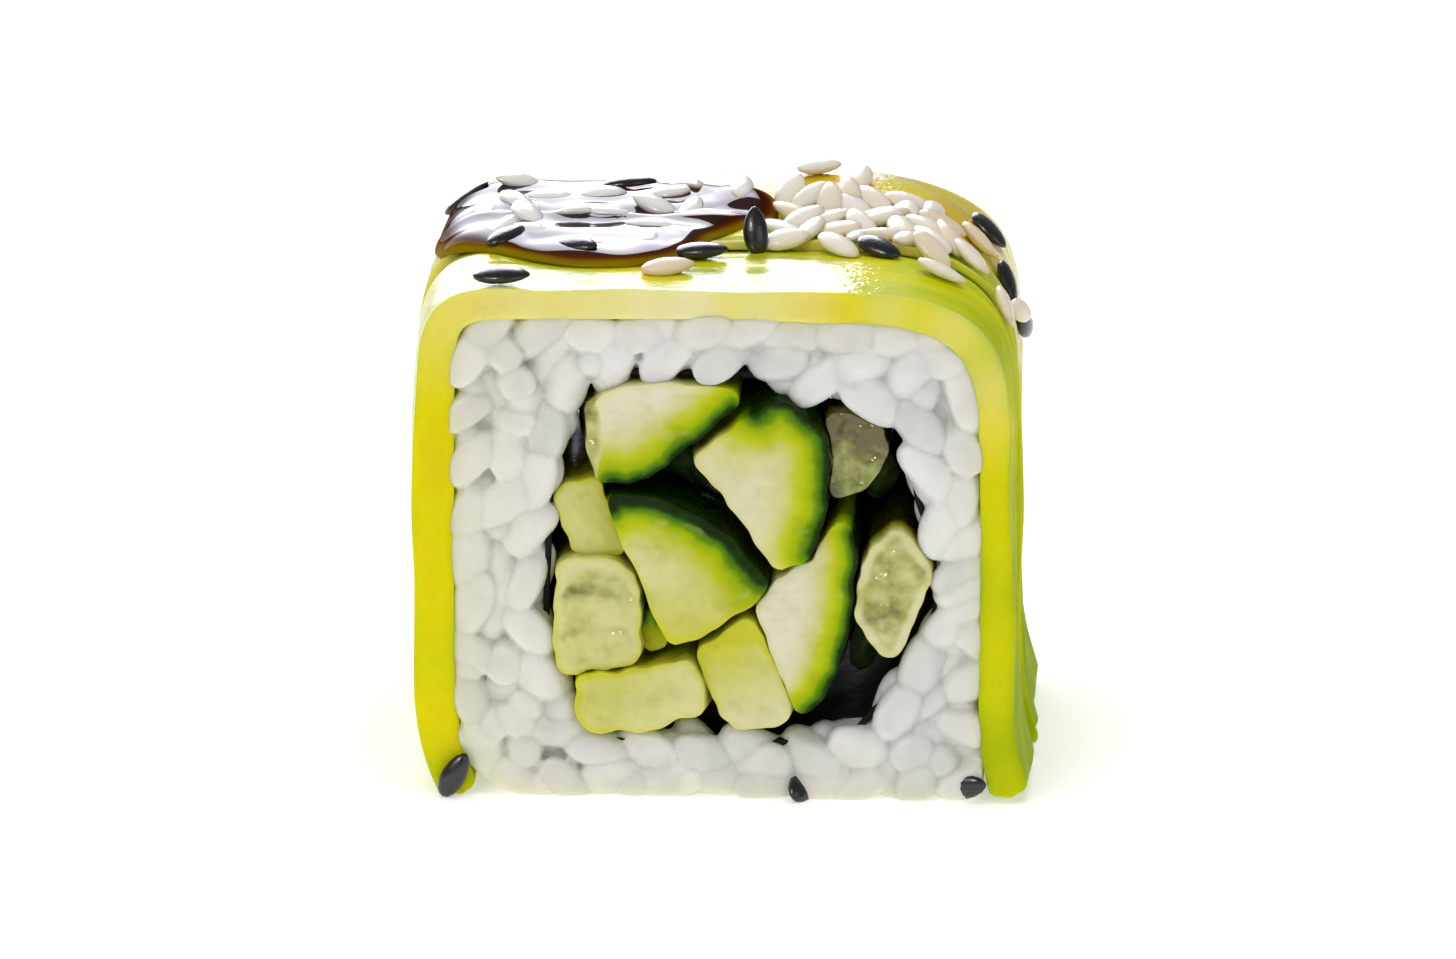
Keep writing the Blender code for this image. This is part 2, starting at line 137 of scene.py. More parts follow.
# The way square to a closed line at each of its points: the line's own way turned by a right angle,
# to the right of it for side 1 and to the left of it for side -1.
def squareTo(line, side):
    way = np.roll(line, -1, axis=0) - np.roll(line, 1, axis=0)
    return side * np.stack([way[:, 1], -way[:, 0]], axis=1) / np.linalg.norm(way, axis=1)[:, None]


# Direction and distance of places in the cut face, as seen from the filling's middle.
def polar(x, z):
    return np.arctan2(z - middleZ, x - middleX), np.hypot(x - middleX, z - middleZ)


# How far a closed outline lies from the filling's middle in each direction theta.
def polarRadius(outline, theta):
    angle, far = polar(outline[:, 0], outline[:, 1])
    order = np.argsort(angle)
    return np.interp(theta, angle[order], far[order], period=2.0 * np.pi)


# How far the filling has turned at a place along the roll, in radians.
def twistAt(y):
    return math.radians(slicePlan["fillingTwist"]) * (y / slicePlan["length"] + 0.5)


# x and z turned about the filling's middle.
def turned(x, z, angle):
    dx, dz, cos, sin = x - middleX, z - middleZ, np.cos(angle), np.sin(angle)
    return middleX + dx * cos - dz * sin, middleZ + dx * sin + dz * cos


# value, bending over smoothly so that it never passes limit.
def pressed(value, limit, softness):
    return limit - softness * np.logaddexp(0.0, (limit - value) / softness)


# Corner numbers of the quads between rows closed rings of points, each with around points.
def ringQuads(rows, around):
    row, col = np.meshgrid(np.arange(rows - 1), np.arange(around), indexing="ij")
    a = row * around + col
    b = row * around + (col + 1) % around
    return np.stack([a, b, b + around, a + around], axis=-1).reshape(-1, 4)


# Quads between the rings, and a fan of triangles from a pole to each end ring. The two poles come
# after the rings' points.
def closedFaces(rows, around):
    first, total = np.arange(around), rows * around
    fans = [
        np.stack([np.full(around, pole), ring, np.roll(ring, -1)], axis=1)
        for pole, ring in ((total, first[::-1]), (total + 1, first + total - around))]
    return ringQuads(rows, around), np.concatenate(fans)


# Copies of one ball, each bent to its own shape, turned to its own three axes and set down.
def copiedBalls(shapes, axes, middles, quads, fans):
    count, size = shapes.shape[:2]
    shift = (np.arange(count) * size)[:, None, None]
    points = middles[:, None] + shapes @ axes
    return points.reshape(-1, 3), (quads[None] + shift).reshape(-1, 4), (fans[None] + shift).reshape(-1, 3)


# A mesh from whole arrays of points, quads and triangles, in the points' own unit.
def rawMesh(name, points, quads, triangles=np.empty((0, 3), int)):
    mesh = bpy.data.meshes.new(name)
    corners = np.concatenate([quads.reshape(-1), triangles.reshape(-1)]).astype(np.int32)
    sizes = np.repeat([4, 3], [len(quads), len(triangles)]).astype(np.int32)
    mesh.vertices.add(len(points))
    setPoints(mesh, points)
    mesh.loops.add(len(corners))
    mesh.loops.foreach_set("vertex_index", corners)
    mesh.polygons.add(len(sizes))
    mesh.polygons.foreach_set("loop_start", (np.cumsum(sizes) - sizes).astype(np.int32))
    mesh.update(calc_edges=True)
    mesh.validate()
    return mesh


# A mesh's points as an array, and the other way round.
def pointsOf(mesh):
    co = np.empty(len(mesh.vertices) * 3, np.float32)
    mesh.vertices.foreach_get("co", co)
    return co.reshape(-1, 3).astype(float)


def setPoints(mesh, points):
    mesh.vertices.foreach_set("co", np.ascontiguousarray(points, np.float32).reshape(-1))


# Gives each point of a mesh a named number for its material.
def paint(mesh, values):
    for key, value in values.items():
        layer = mesh.attributes.new(key, "FLOAT", "POINT")
        layer.data.foreach_set("value", np.ascontiguousarray(value, np.float32).reshape(-1))


# A mesh set down in the frame from points in millimetres, with its named numbers.
def newMesh(name, points, quads, triangles=np.empty((0, 3), int), values=None):
    mesh = rawMesh(name, (points + offset) * mm, quads, triangles)
    paint(mesh, values or {})
    return mesh


# The mesh of a row of closed rings, with a pole in the middle of each end ring. A pole takes its
# ring's mean of each named number.
def ringMesh(name, rings, values):
    rows, around = rings.shape[:2]
    values = {key: np.broadcast_to(value, (rows, around)) for key, value in values.items()}
    values = {key: np.append(value.reshape(-1), value[[0, -1]].mean(axis=1)) for key, value in values.items()}
    points = np.concatenate([rings.reshape(-1, 3), rings[[0, -1]].mean(axis=1)])
    return newMesh(name, points, *closedFaces(rows, around), values)


# A new object of the scene.
def newObject(name, data):
    thing = bpy.data.objects.new(name, data)
    bpy.context.scene.collection.objects.link(thing)
    return thing


# The finished piece: smooth, facing outwards, riding on the slice and standing for its CAD nodes.
def newPiece(name, mesh, material, nodes=()):
    shell = bmesh.new()
    shell.from_mesh(mesh)
    bmesh.ops.recalc_face_normals(shell, faces=shell.faces)
    shell.to_mesh(mesh)
    shell.free()
    mesh.shade_smooth()
    mesh.materials.append(material)
    piece = newObject(name, mesh)
    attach(piece, "root")
    if nodes:
        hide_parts(*nodes)
    print(name, len(mesh.polygons), "faces")


# Sets up a node. A setting is a property or a socket's value or hex colour, "stops" are a ramp's
# (place, hex) colours, and "size" is how wide a pattern's features are, in millimetres. A link is a
# socket, by name or number, and the name of what it reads: an earlier node, or else the mesh's
# numbers of that name.
def setNode(tree, node, settings, links, sockets):
    for key, value in settings.items():
        if key == "stops":
            elements = node.color_ramp.elements
            while len(elements) < len(value):
                elements.new(0.5)
            for element, (place, code) in zip(elements, value):
                element.position = place
                element.color = linear(code)
        elif key == "size":
            node.inputs["Scale"].default_value = (1.0 / (np.array(value) * mm)).tolist()
        elif isinstance(key, str) and hasattr(node, key):
            setattr(node, key, value)
        else:
            node.inputs[key].default_value = linear(value) if isinstance(value, str) else value
    for key, source in links.items():
        if source not in sockets:
            addNode(tree, source, "Attribute", {"attribute_name": source}, {}, sockets)
        tree.links.new(sockets[source], node.inputs[key])


# Adds one node and notes its output under its name.
def addNode(tree, name, kind, settings, links, sockets):
    node = tree.nodes.new("ShaderNode" + kind)
    setNode(tree, node, settings, links, sockets)
    output = {"TexCoord": "Object", "Attribute": "Fac", "Mix": 2}.get(kind, 0)
    sockets[name] = node.outputs[output]


# A material from its nodes, as name: (kind, settings, links), and its shader's own settings and
# links. "place" is the piece's Object coordinates.
def newMaterial(name, nodes, settings, links):
    material = bpy.data.materials.new(name)
    material.use_nodes = True
    tree, sockets = material.node_tree, {}
    addNode(tree, "place", "TexCoord", {}, {}, sockets)
    for key, (kind, values, sources) in nodes.items():
        addNode(tree, key, kind, values, sources, sockets)
    setNode(tree, tree.nodes["Principled BSDF"], settings, links, sockets)
    return material


riceOutline, holeOutline = [
    rounded(slicePlan[key], slicePlan["rounding"], 720, True) for key in ("riceCorners", "noriCorners")]


rice = {
    "seed": 12,
    "grainLength": (4.2, 5.4),
    "grainWidth": (2.5, 3.0),
    "grainThickness": (2.2, 2.7),
    "grainGrid": (11, 18),  # rings along a grain, and points round it
    "boxy": 2.5,  # 2 gives a grain round sections, and more makes them squarer
    "bow": 0.3,  # how far a grain bends
    "rims": (3.1, 3.4),  # distance between the grains that line the hole and the outer edge
    "inset": (1.15, 1.25),  # how far their middles stand off from it
    "scatter": (0.35, 0.8, 0.5),  # how far they stray, by how much of it inwards, and how much all ways
    "stray": 0.5,  # how far they turn out of line, in radians
    "throwWithin": ((-16.6, 16.6), (0.5, 31.7)),  # where the other grains of a layer are tried
    "spacing": (2.35, 1.9),  # least distance between two grains' middles, in the front layer and behind
    "clear": ((0.9, 1.0), (0.8, 0.9)),  # how far the other grains keep from the hole and the outer edge
    "lean": 16.0,  # degrees that a grain typically leans out of the cut face
    "onEnd": 0.25,  # share of the grains that point out of the face
    "onEndLean": (0.9, 1.4),  # their lean, in radians
    "poke": (0.75, 1.2),  # how deep a front grain's middle lies behind the knife's plane
    "behind": 0.8,  # how much deeper the second layer lies
    "under": (2.4, 15.0, 11.0),  # spacing, half width and half length of the layer on the floor
    "underHeight": (0.8, 1.2),
    "underLean": 0.15,
    "throws": 6000,  # how many places are tried for each layer
    "coreInset": (1.25, 0.55, 0.3),  # how far the core stays behind the face, the hole and the edge
    "coreStart": 2.6,  # how far behind the face its straight sides start
    "coreSteps": (4, 6, 180),  # its sections over a face and along a side, and points round
    "unevenCut": (0.12, 9.0),  # how far the knife's plane wanders, and how often
    "soft": (0.18, 0.12, 0.06),  # how softly the knife, the avocado and the floor flatten the grains
    "past": 0.05,  # how far the grains press into the avocado
    "sticky": (0.5, 1),  # how far the creases between them are softened, and how many times
    "voxel": 0.17,
    "triangles": 190000,
    "shades": (0.16, 0.5),  # how chalky the grains are
    "creaseShade": 0.22,  # painted shade: how much darker the rice is drawn where two grains meet
    "stainsAndBounce": (0.6, 0.9, 0.18),  # yellow near the avocado, partly stain and partly painted light bounced off it: its strength, its reach, and how much more the left side gets
}


# Middles and headings of the grains that line one outline: even steps along it, then inwards or
# outwards by about inset, with a little scatter. They lie roughly along it.
def lineGrains(random, corners, step, inset, twist):
    line = rounded(corners, slicePlan["rounding"], 720, True)
    count = int(np.hypot(*(np.roll(line, -1, axis=0) - line).T).sum() / step)
    line = rounded(corners, slicePlan["rounding"], count, True)
    middle = np.array(slicePlan["fillingMiddle"])
    spoke = np.stack(turned(line[:, 0], line[:, 1], twist), axis=1) - middle
    far = np.linalg.norm(spoke, axis=1)[:, None]
    most, inwards, allWays = rice["scatter"]
    scatter = random.uniform(-most, most, (count, 2))
    heading = np.arctan2(spoke[:, 0], -spoke[:, 1]) + random.normal(scale=rice["stray"], size=count)
    return middle + spoke * (far + inset + inwards * scatter[:, :1]) / far + allWays * scatter, heading


# Middles of grains in one layer, thrown at random and kept where they clear those before them.
def scatterGrains(random, spacing, accept, kept=np.empty((0, 2))):
    throws = np.stack([random.uniform(*span, rice["throws"]) for span in rice["throwWithin"]], axis=1)
    for throw in throws[accept(throws)]:
        if not len(kept) or np.hypot(*(kept - throw).T).min() > spacing:
            kept = np.vstack([kept, throw])
    return kept


# Whether points in the cut face lie between the hole and the rice's outline, clear of both.
def inRiceRing(points, twist, clear):
    theta, far = polar(points[:, 0], points[:, 1])
    outside = polarRadius(riceOutline, theta) - clear[1]
    return (far < outside) & (far > polarRadius(holeOutline, theta - twist) + clear[0])


# One layer of grains at the cut face on one side: their middles and the ways they point. First the
# grains that line the hole and the edge, then those between them.
def faceGrains(random, side, layer):
    twist = twistAt(side * halfLength)
    (holeStep, edgeStep), (holeInset, edgeInset) = rice["rims"], rice["inset"]
    inside, insideTurn = lineGrains(random, slicePlan["noriCorners"], holeStep, holeInset, twist)
    outside, outsideTurn = lineGrains(random, slicePlan["riceCorners"], edgeStep, -edgeInset, 0.0)
    flat = scatterGrains(
        random, rice["spacing"][layer], lambda points: inRiceRing(points, twist, rice["clear"][layer]),
        np.concatenate([inside, outside]))
    count, lined = len(flat), len(inside) + len(outside)
    depth = random.uniform(*rice["poke"], count) + rice["behind"] * layer
    turn = random.uniform(0.0, np.pi, count)
    turn[:lined] = np.concatenate([insideTurn, outsideTurn])
    lean = np.radians(rice["lean"]) * random.normal(size=count)
    onEnd = (random.random(count) < rice["onEnd"]) & (np.arange(count) >= lined)
    lean = np.where(onEnd, random.uniform(*rice["onEndLean"], count), lean)
    middles = np.stack([flat[:, 0], side * (halfLength - depth), flat[:, 1]], axis=1)
    ways = np.stack([np.cos(turn) * np.cos(lean), np.sin(lean), np.sin(turn) * np.cos(lean)], axis=1)
    return middles, ways


# The grains that lie on the floor, all over the underside.
def underGrains(random):
    spacing, wide, deep = rice["under"]
    flat = scatterGrains(
        random, spacing, lambda points: (np.abs(points[:, 0]) < wide) & (points[:, 1] < 2.0 * deep))
    count = len(flat)
    middles = np.stack([flat[:, 0], flat[:, 1] - deep, random.uniform(*rice["underHeight"], count)], axis=1)
    turn = random.uniform(0.0, np.pi, count)
    ways = np.stack([np.cos(turn), np.sin(turn), rice["underLean"] * random.normal(size=count)], axis=1)
    return middles, ways


# A grain is a ball whose sections are a little squarer than circles, stretched to its three sizes:
# along = cos(v), across = sin(v) cos(u), up = sin(v) sin(u), each eased towards a rounded box.
def grainBall():
    rings, around = rice["grainGrid"]
    u = np.linspace(0.0, 2.0 * np.pi, around, endpoint=False)
    v = np.linspace(0.0, np.pi, rings + 2)[1:-1]
    vv, uu = np.meshgrid(v, u, indexing="ij")
    body = np.stack([np.cos(vv), np.sin(vv) * np.cos(uu), np.sin(vv) * np.sin(uu)], axis=-1).reshape(-1, 3)
    body /= (np.abs(body) ** rice["boxy"]).sum(axis=1)[:, None] ** (1.0 / rice["boxy"])
    return np.concatenate([body, [[1.0, 0.0, 0.0], [-1.0, 0.0, 0.0]]])


# A plain ring-shaped core behind the grains: a closed loop of sections, as (y, share of the way from
# the hole to the outer edge), over the front face, the outer side, the back face and the hole.
def riceCore():
    face, inner, outer = rice["coreInset"]
    over, sides, around = rice["coreSteps"]
    front, straight = halfLength - face, halfLength - rice["coreStart"]
    stations = np.concatenate([
        np.stack([np.full(over, -front), np.linspace(0.08, 1.0, over)], axis=1),
        np.stack([np.linspace(-straight, straight, sides), np.full(sides, 1.0)], axis=1),
        np.stack([np.full(over, front), np.linspace(1.0, 0.08, over)], axis=1),
        np.stack([np.linspace(straight, -straight, sides), np.full(sides, 0.0)], axis=1),
    ])
    theta = np.linspace(-np.pi, np.pi, around, endpoint=False)
    y = stations[:, :1]
    low = polarRadius(holeOutline, theta[None] - twistAt(y)) + inner
    high = polarRadius(riceOutline, theta)[None] - outer
    far = low + (high - low) * stations[:, 1:]
    x, z = middleX + far * np.cos(theta), middleZ + far * np.sin(theta)
    rings = np.stack([x, np.broadcast_to(y, far.shape), z], axis=-1)
    return rings.reshape(-1, 3), ringQuads(len(stations) + 1, around) % (len(stations) * around)


# Presses every point inside the knife's two planes, the avocado's inner line and the floor.
def pressRice(points):
    x, y, z = points.T
    uneven, often = rice["unevenCut"]
    knife, avocadoHold, floorHold = rice["soft"]
    face = halfLength + uneven * ripple(points[:, (0, 2)], often, 4)
    y = np.where(y < 0, -pressed(-y, face, knife), pressed(y, face, knife))
    theta, far = polar(x, z)
    held = pressed(far, polarRadius(riceOutline, theta) + rice["past"], avocadoHold) / np.maximum(far, 1e-6)
    z = -pressed(-(middleZ + (z - middleZ) * held), 0.0, floorHold)
    return np.stack([middleX + (x - middleX) * held, y, z], axis=1)


# All the grains and the core, pressed into the slice's shape, with each grain's middle, axes and half
# sizes.
def riceGeometry():
    random = np.random.default_rng(rice["seed"])
    layers = [faceGrains(random, side, layer) for side in (-1.0, 1.0) for layer in (0, 1)]
    middles, ways = [np.concatenate(part) for part in zip(*layers, underGrains(random))]
    ways = unit(ways)
    count = len(middles)
    across = unit(np.cross(ways, random.normal(size=(count, 3))))
    axes = np.stack([ways, across, np.cross(ways, across)], axis=1)
    sizes = 0.5 * np.stack([random.uniform(*rice[key], count) for key in (
        "grainLength", "grainWidth", "grainThickness")], axis=1)
    ball = grainBall()
    bent = ball[None] * sizes[:, None, :]
    bent[..., 1] += random.uniform(-rice["bow"], rice["bow"], count)[:, None] * (ball[None, :, 0] ** 2 - 0.4)
    grains, quads, fans = copiedBalls(bent, axes, middles, *closedFaces(*rice["grainGrid"]))
    core, coreQuads = riceCore()
    points = pressRice(np.concatenate([grains, core]))
    return (points, np.concatenate([quads, coreQuads + len(grains)]), fans), (middles, axes, sizes)


# For each point, the grain that it belongs to and how near the next grain comes: a grain's measure
# of a point is the point's distance in units of the grain's own three half sizes.
def ownGrain(points, middles, axes, sizes):
    first, second = np.full(len(points), 9.0), np.full(len(points), 9.0)
    owner = np.zeros(len(points), int)
    for number, (middle, frameAxes, size) in enumerate(zip(middles, axes, sizes)):
        near = np.flatnonzero(np.abs(points - middle).max(axis=1) < 3.4)  # past half a grain's length
        measure = np.linalg.norm((points[near] - middle) @ frameAxes.T / size, axis=1)
        closer = measure < first[near]
        second[near] = np.where(closer, first[near], np.minimum(second[near], measure))
        first[near] = np.where(closer, measure, first[near])
        owner[near[closer]] = number
    return owner, second - first


# The grains and the core become one skin: a voxel remesh, thinned to the triangle budget.
def remeshed(points, quads, triangles):
    work = newObject("riceWork", rawMesh("riceGrains", points, quads, triangles))
    melt = work.modifiers.new("melt", "REMESH")
    melt.mode = "VOXEL"
    melt.voxel_size = rice["voxel"]
    faces = len(work.evaluated_get(bpy.context.evaluated_depsgraph_get()).data.polygons)
    soften = work.modifiers.new("soften", "SMOOTH")
    soften.factor, soften.iterations = rice["sticky"]
    thin = work.modifiers.new("thin", "DECIMATE")
    thin.ratio = min(1.0, rice["triangles"] / (2.0 * faces))
    mesh = bpy.data.meshes.new_from_object(work.evaluated_get(bpy.context.evaluated_depsgraph_get()))
    bpy.data.objects.remove(work)
    print("rice remeshed", faces, "to", len(mesh.polygons))
    return mesh


# Cooked short-grain rice: a moist, cloudy starch gel. Light goes in and comes out nearby, so the
# hollows between grains glow grey rather than turn black, and wet skins catch soft glints. Its grit
# is drawn coarser than starch's own, so that it shows.
def riceMaterial():
    return newMaterial("cookedRice", {
        "cloud": ("TexNoise", {"size": 1.43, "Detail": 4.0}, {"Vector": "place"}),
        "chalk": ("Math", {"operation": "MULTIPLY_ADD", 1: 0.6}, {0: "cloud", 2: "tone"}),
        "body": ("ValToRGB", {"stops": [
            (0.1, "C0C1BE"), (0.4, "D6D6D3"), (0.7, "E5E4E1"), (1.0, "F2F0EB")]}, {0: "chalk"}),
        "dyed": ("Mix", {"data_type": "RGBA", 7: "E9E3B4"}, {0: "stain", 6: "body"}),
        "grit": ("TexNoise", {"size": 0.667, "Detail": 4.0}, {"Vector": "place"}),
        "film": ("MapRange", {"From Min": 0.45, "From Max": 0.6}, {"Value": "cloud"}),
        "damp": ("MapRange", {"To Min": 0.24, "To Max": 0.5}, {"Value": "cloud"}),
        "bump": ("Bump", {"Strength": 0.35, "Distance": 0.2 * mm}, {"Height": "grit"}),
        "beads": ("Bump", {"Strength": 0.6, "Distance": 0.6 * mm}, {"Height": "grit"}),
    }, {
        "Subsurface Weight": 0.7, "Subsurface Radius": (1.0, 0.95, 0.85), "Subsurface Scale": 1.2 * mm,
        "IOR": 1.40, "Specular IOR Level": 0.4, "Coat Roughness": 0.05,
    }, {
        "Base Color": "dyed", "Roughness": "damp", "Normal": "bump", "Coat Weight": "film",
        "Coat Normal": "beads",
    })


def buildRice():
    shape, grains = riceGeometry()
    mesh = remeshed(*shape)
    points = pointsOf(mesh)
    owner, apart = ownGrain(points, *grains)
    shade = np.random.default_rng(rice["seed"] + 1).uniform(*rice["shades"], len(grains[0]))
    strength, reach, left = rice["stainsAndBounce"]
    theta, far = polar(points[:, 0], points[:, 2])
    inwards = np.maximum(polarRadius(riceOutline, theta) - far, 0.0)
    paint(mesh, {
        # painted shade: the tone drops where a grain comes near the next one, darkening the creases
        "tone": shade[owner] - rice["creaseShade"] * ease(0.18, 0.0, apart),
        # partly stain and partly painted bounce light: yellow near the avocado's edge, and more over the left
        # side
        "stain": strength * np.exp(-inwards / reach) + left * ease(-6.0, -15.0, points[:, 0]),
    })
    setPoints(mesh, (points + offset) * mm)
    newPiece("riceGrains", mesh, riceMaterial(), ["rice"])


buildRice()


nori = {
    "thickness": 0.4,
    "rounding": 1.3,  # how widely the tube's corners are rounded
    "grid": (16, 8, 300),  # rings up the inside, rings back down the outside, and points round
    "setBack": 0.9,  # behind the knife's plane
    "ragged": (0.3, 4.0),  # how far its cut edges wander, and how often
    "crumple": (0.16, 5.0),  # how far its wall wanders, and how often
    "inwards": 0.05,  # how far it stands inside its outline
}


# Toasted seaweed sheet, softened by the rice: nearly black green, with a felt of fibres, drawn
# coarser than they are, that gives a dull broken shine.
def noriMaterial():
    return newMaterial("toastedNori", {
        "felt": ("TexNoise", {"size": 1.11, "Detail": 4.0}, {"Vector": "place"}),
        "shade": ("ValToRGB", {"stops": [(0.3, "070905"), (0.6, "0E1208"), (0.8, "1F1C0C")]}, {0: "felt"}),
        "dull": ("MapRange", {"To Min": 0.5, "To Max": 0.8}, {"Value": "felt"}),
        "bump": ("Bump", {"Strength": 0.5, "Distance": 0.2 * mm}, {"Height": "felt"}),
    }, {"IOR": 1.45, "Specular IOR Level": 0.2}, {
        "Base Color": "shade", "Roughness": "dull", "Normal": "bump"})


# The nori tube: its inner outline, moved outwards by 0 or one thickness, carried along the roll as
# the filling turns. A closed loop of sections goes up the inside, over the back edge and down outside.
def buildNori():
    up, down, around = nori["grid"]
    line = rounded(slicePlan["noriCorners"], nori["rounding"], around, True)
    out = squareTo(line, -1.0)
    share = np.concatenate([np.linspace(0.0, 1.0, up), np.linspace(1.0, 0.0, down)])[:, None]
    side = np.repeat([0.0, nori["thickness"]], [up, down])[:, None]
    turn = np.linspace(0.0, 2.0 * np.pi, around, endpoint=False)
    circle = 8.0 * np.stack([np.cos(turn), np.sin(turn)], axis=1)  # where the noise is read, so it closes
    (ragged, edgeOften), (crumple, wallOften) = nori["ragged"], nori["crumple"]
    low = -halfLength + nori["setBack"] + ragged * ripple(circle, edgeOften, 5)
    high = halfLength - nori["setBack"] + ragged * ripple(circle, edgeOften, 6)
    y = low + (high - low) * share
    grid = np.concatenate([np.broadcast_to(circle, (up + down, around, 2)), y[..., None]], axis=-1)
    move = side + crumple * ripple(grid, wallOften, 9) - nori["inwards"]
    x, z = turned(line[:, 0] + out[:, 0] * move, line[:, 1] + out[:, 1] * move, twistAt(y))
    quads = ringQuads(up + down + 1, around) % ((up + down) * around)
    mesh = newMesh("noriTube", np.stack([x, y, z], axis=-1).reshape(-1, 3), quads)
    newPiece("noriTube", mesh, noriMaterial(), ["nori"])


buildNori()


# Each stick: the directions in degrees, as seen from its middle, between which its outline is skin;
# how wide the green band under the skin is, and how thick the rind is outside it; how the cut face
# leans; how yellow-green its flesh is, and how fast that grows rightwards and upwards; how much of it
# is clear seed jelly, with how much less at its rim; veils of jelly across it, as (height, width,
# strength); left of which place it is all jelly; and how much painted shade darkens its sides.
cucumber = {
    "edge": 0.12,  # rounding of a cut edge
    "corner": 0.16,  # how widely an outline's corners are rounded
    "outline": 120,  # points round a stick
    "grid": (19, 5, 14),  # rings over a cut face, over its edge and along the sides
    "ragged": (0.09, 1.9),  # how far the knife and the seeds leave its outline uneven, and how often
    "relief": ((0.07, 3.0), (0.03, 0.9)),  # how uneven the cut faces are, and how often
    "wobble": (0.06, 6.0),  # the same for its sides
    "squeeze": 0.5,  # how much fatter the sticks are halfway along, where they close every gap
    "swell": 0.27,  # how far the sticks press outwards against each other
    "rimGreen": (0.3, 0.5),  # how much greener the flesh is at an outline's rim, and how far in
    "rimJelly": (0.8, 0.2),  # how far in from the rim the jelly is full, and how far in it is least
    "clearJelly": (1.5, 0.3),  # how much more there is where a stick is all jelly, and how softly
    "wetJelly": (0.6, 1.0, 0.04),  # jelly from which to which a cut grows wet, and how wet the rest is
    "sideShadeFrom": (0.2, 1.2),  # distances from the skin, in bands, over which the painted shade on the sides grows
    "sag": (0.12, 0.2, 3.5),  # how the veils hang: the arch they make, how far they wander, how often
    "plain": {
        "skin": None, "band": 1.0, "rind": 0.1, "lean": (0.0, 0.0), "green": (0.0, 0.0, 0.0), "jelly": 0.0,
        "rim": 0.5, "veils": [], "clear": -99.0, "sideShade": 0.5},
    "sticks": {
        "cucumber_top_left": {
            "skin": (-128, 12), "band": 0.8, "lean": (0.02, 0.03), "green": (0.1, -0.02, -0.05),
            "jelly": 0.05, "clear": -3.5},
        "cucumber_top_middle": {
            "skin": (-62, 104), "band": 0.95, "lean": (-0.03, 0.0), "green": (0.12, -0.04, 0.03),
            "jelly": 0.05},
        "cucumber_centre": {
            "skin": (-8, 140), "band": 0.9, "rind": 0.5, "lean": (0.02, -0.03), "green": (0.42, 0.0, -0.1),
            "jelly": 0.1},
        "cucumber_right": {
            "skin": (-95, 66), "band": 0.68, "lean": (-0.03, 0.02), "green": (0.03, 0.0, 0.0), "jelly": 0.05},
        "cucumber_upper_left": {"lean": (0.05, 0.04), "green": (0.68, 0.08, 0.02), "jelly": 0.15},
        "cucumber_seed_left": {
            "green": (0.5, 0.0, -0.03), "jelly": 0.45, "veils": [(1.9, 0.6, 0.6), (-0.8, 0.45, 0.35)]},
        "cucumber_sliver": {"skin": (60, 130), "band": 0.5, "green": (1.0, 0.0, 0.0), "jelly": 0.2},
        "cucumber_bottom_left": {"lean": (0.02, -0.03), "green": (0.62, -0.05, 0.04), "jelly": 0.3},
        "cucumber_bottom_middle": {"lean": (-0.02, -0.04), "green": (0.66, -0.05, 0.12), "jelly": 0.15},
        "cucumber_seed_top": {
            "lean": (0.1, 0.0), "green": (0.5, 0.0, 0.0), "jelly": 1.6, "rim": 0.0,
            "veils": [(2.2, 1.6, 0.8)], "sideShade": 0.9},
        "cucumber_seed_right": {"lean": (0.06, 0.0), "green": (0.15, 0.0, 0.0), "jelly": 0.9, "sideShade": 1.0},
        # painted shade: the deep sticks are coloured rind green all round, so that the gaps between the
        # sticks look shadowed
        "cucumber_deep_middle": {"skin": (-180, 180), "band": 2.5, "green": (1.0, 0.0, 0.0)},
        "cucumber_deep_upper": {"skin": (-180, 180), "band": 2.5, "green": (1.0, 0.0, 0.0)},
        "cucumber_deep_lower": {"skin": (-180, 180), "band": 2.5, "green": (1.0, 0.0, 0.0)},
    },
}


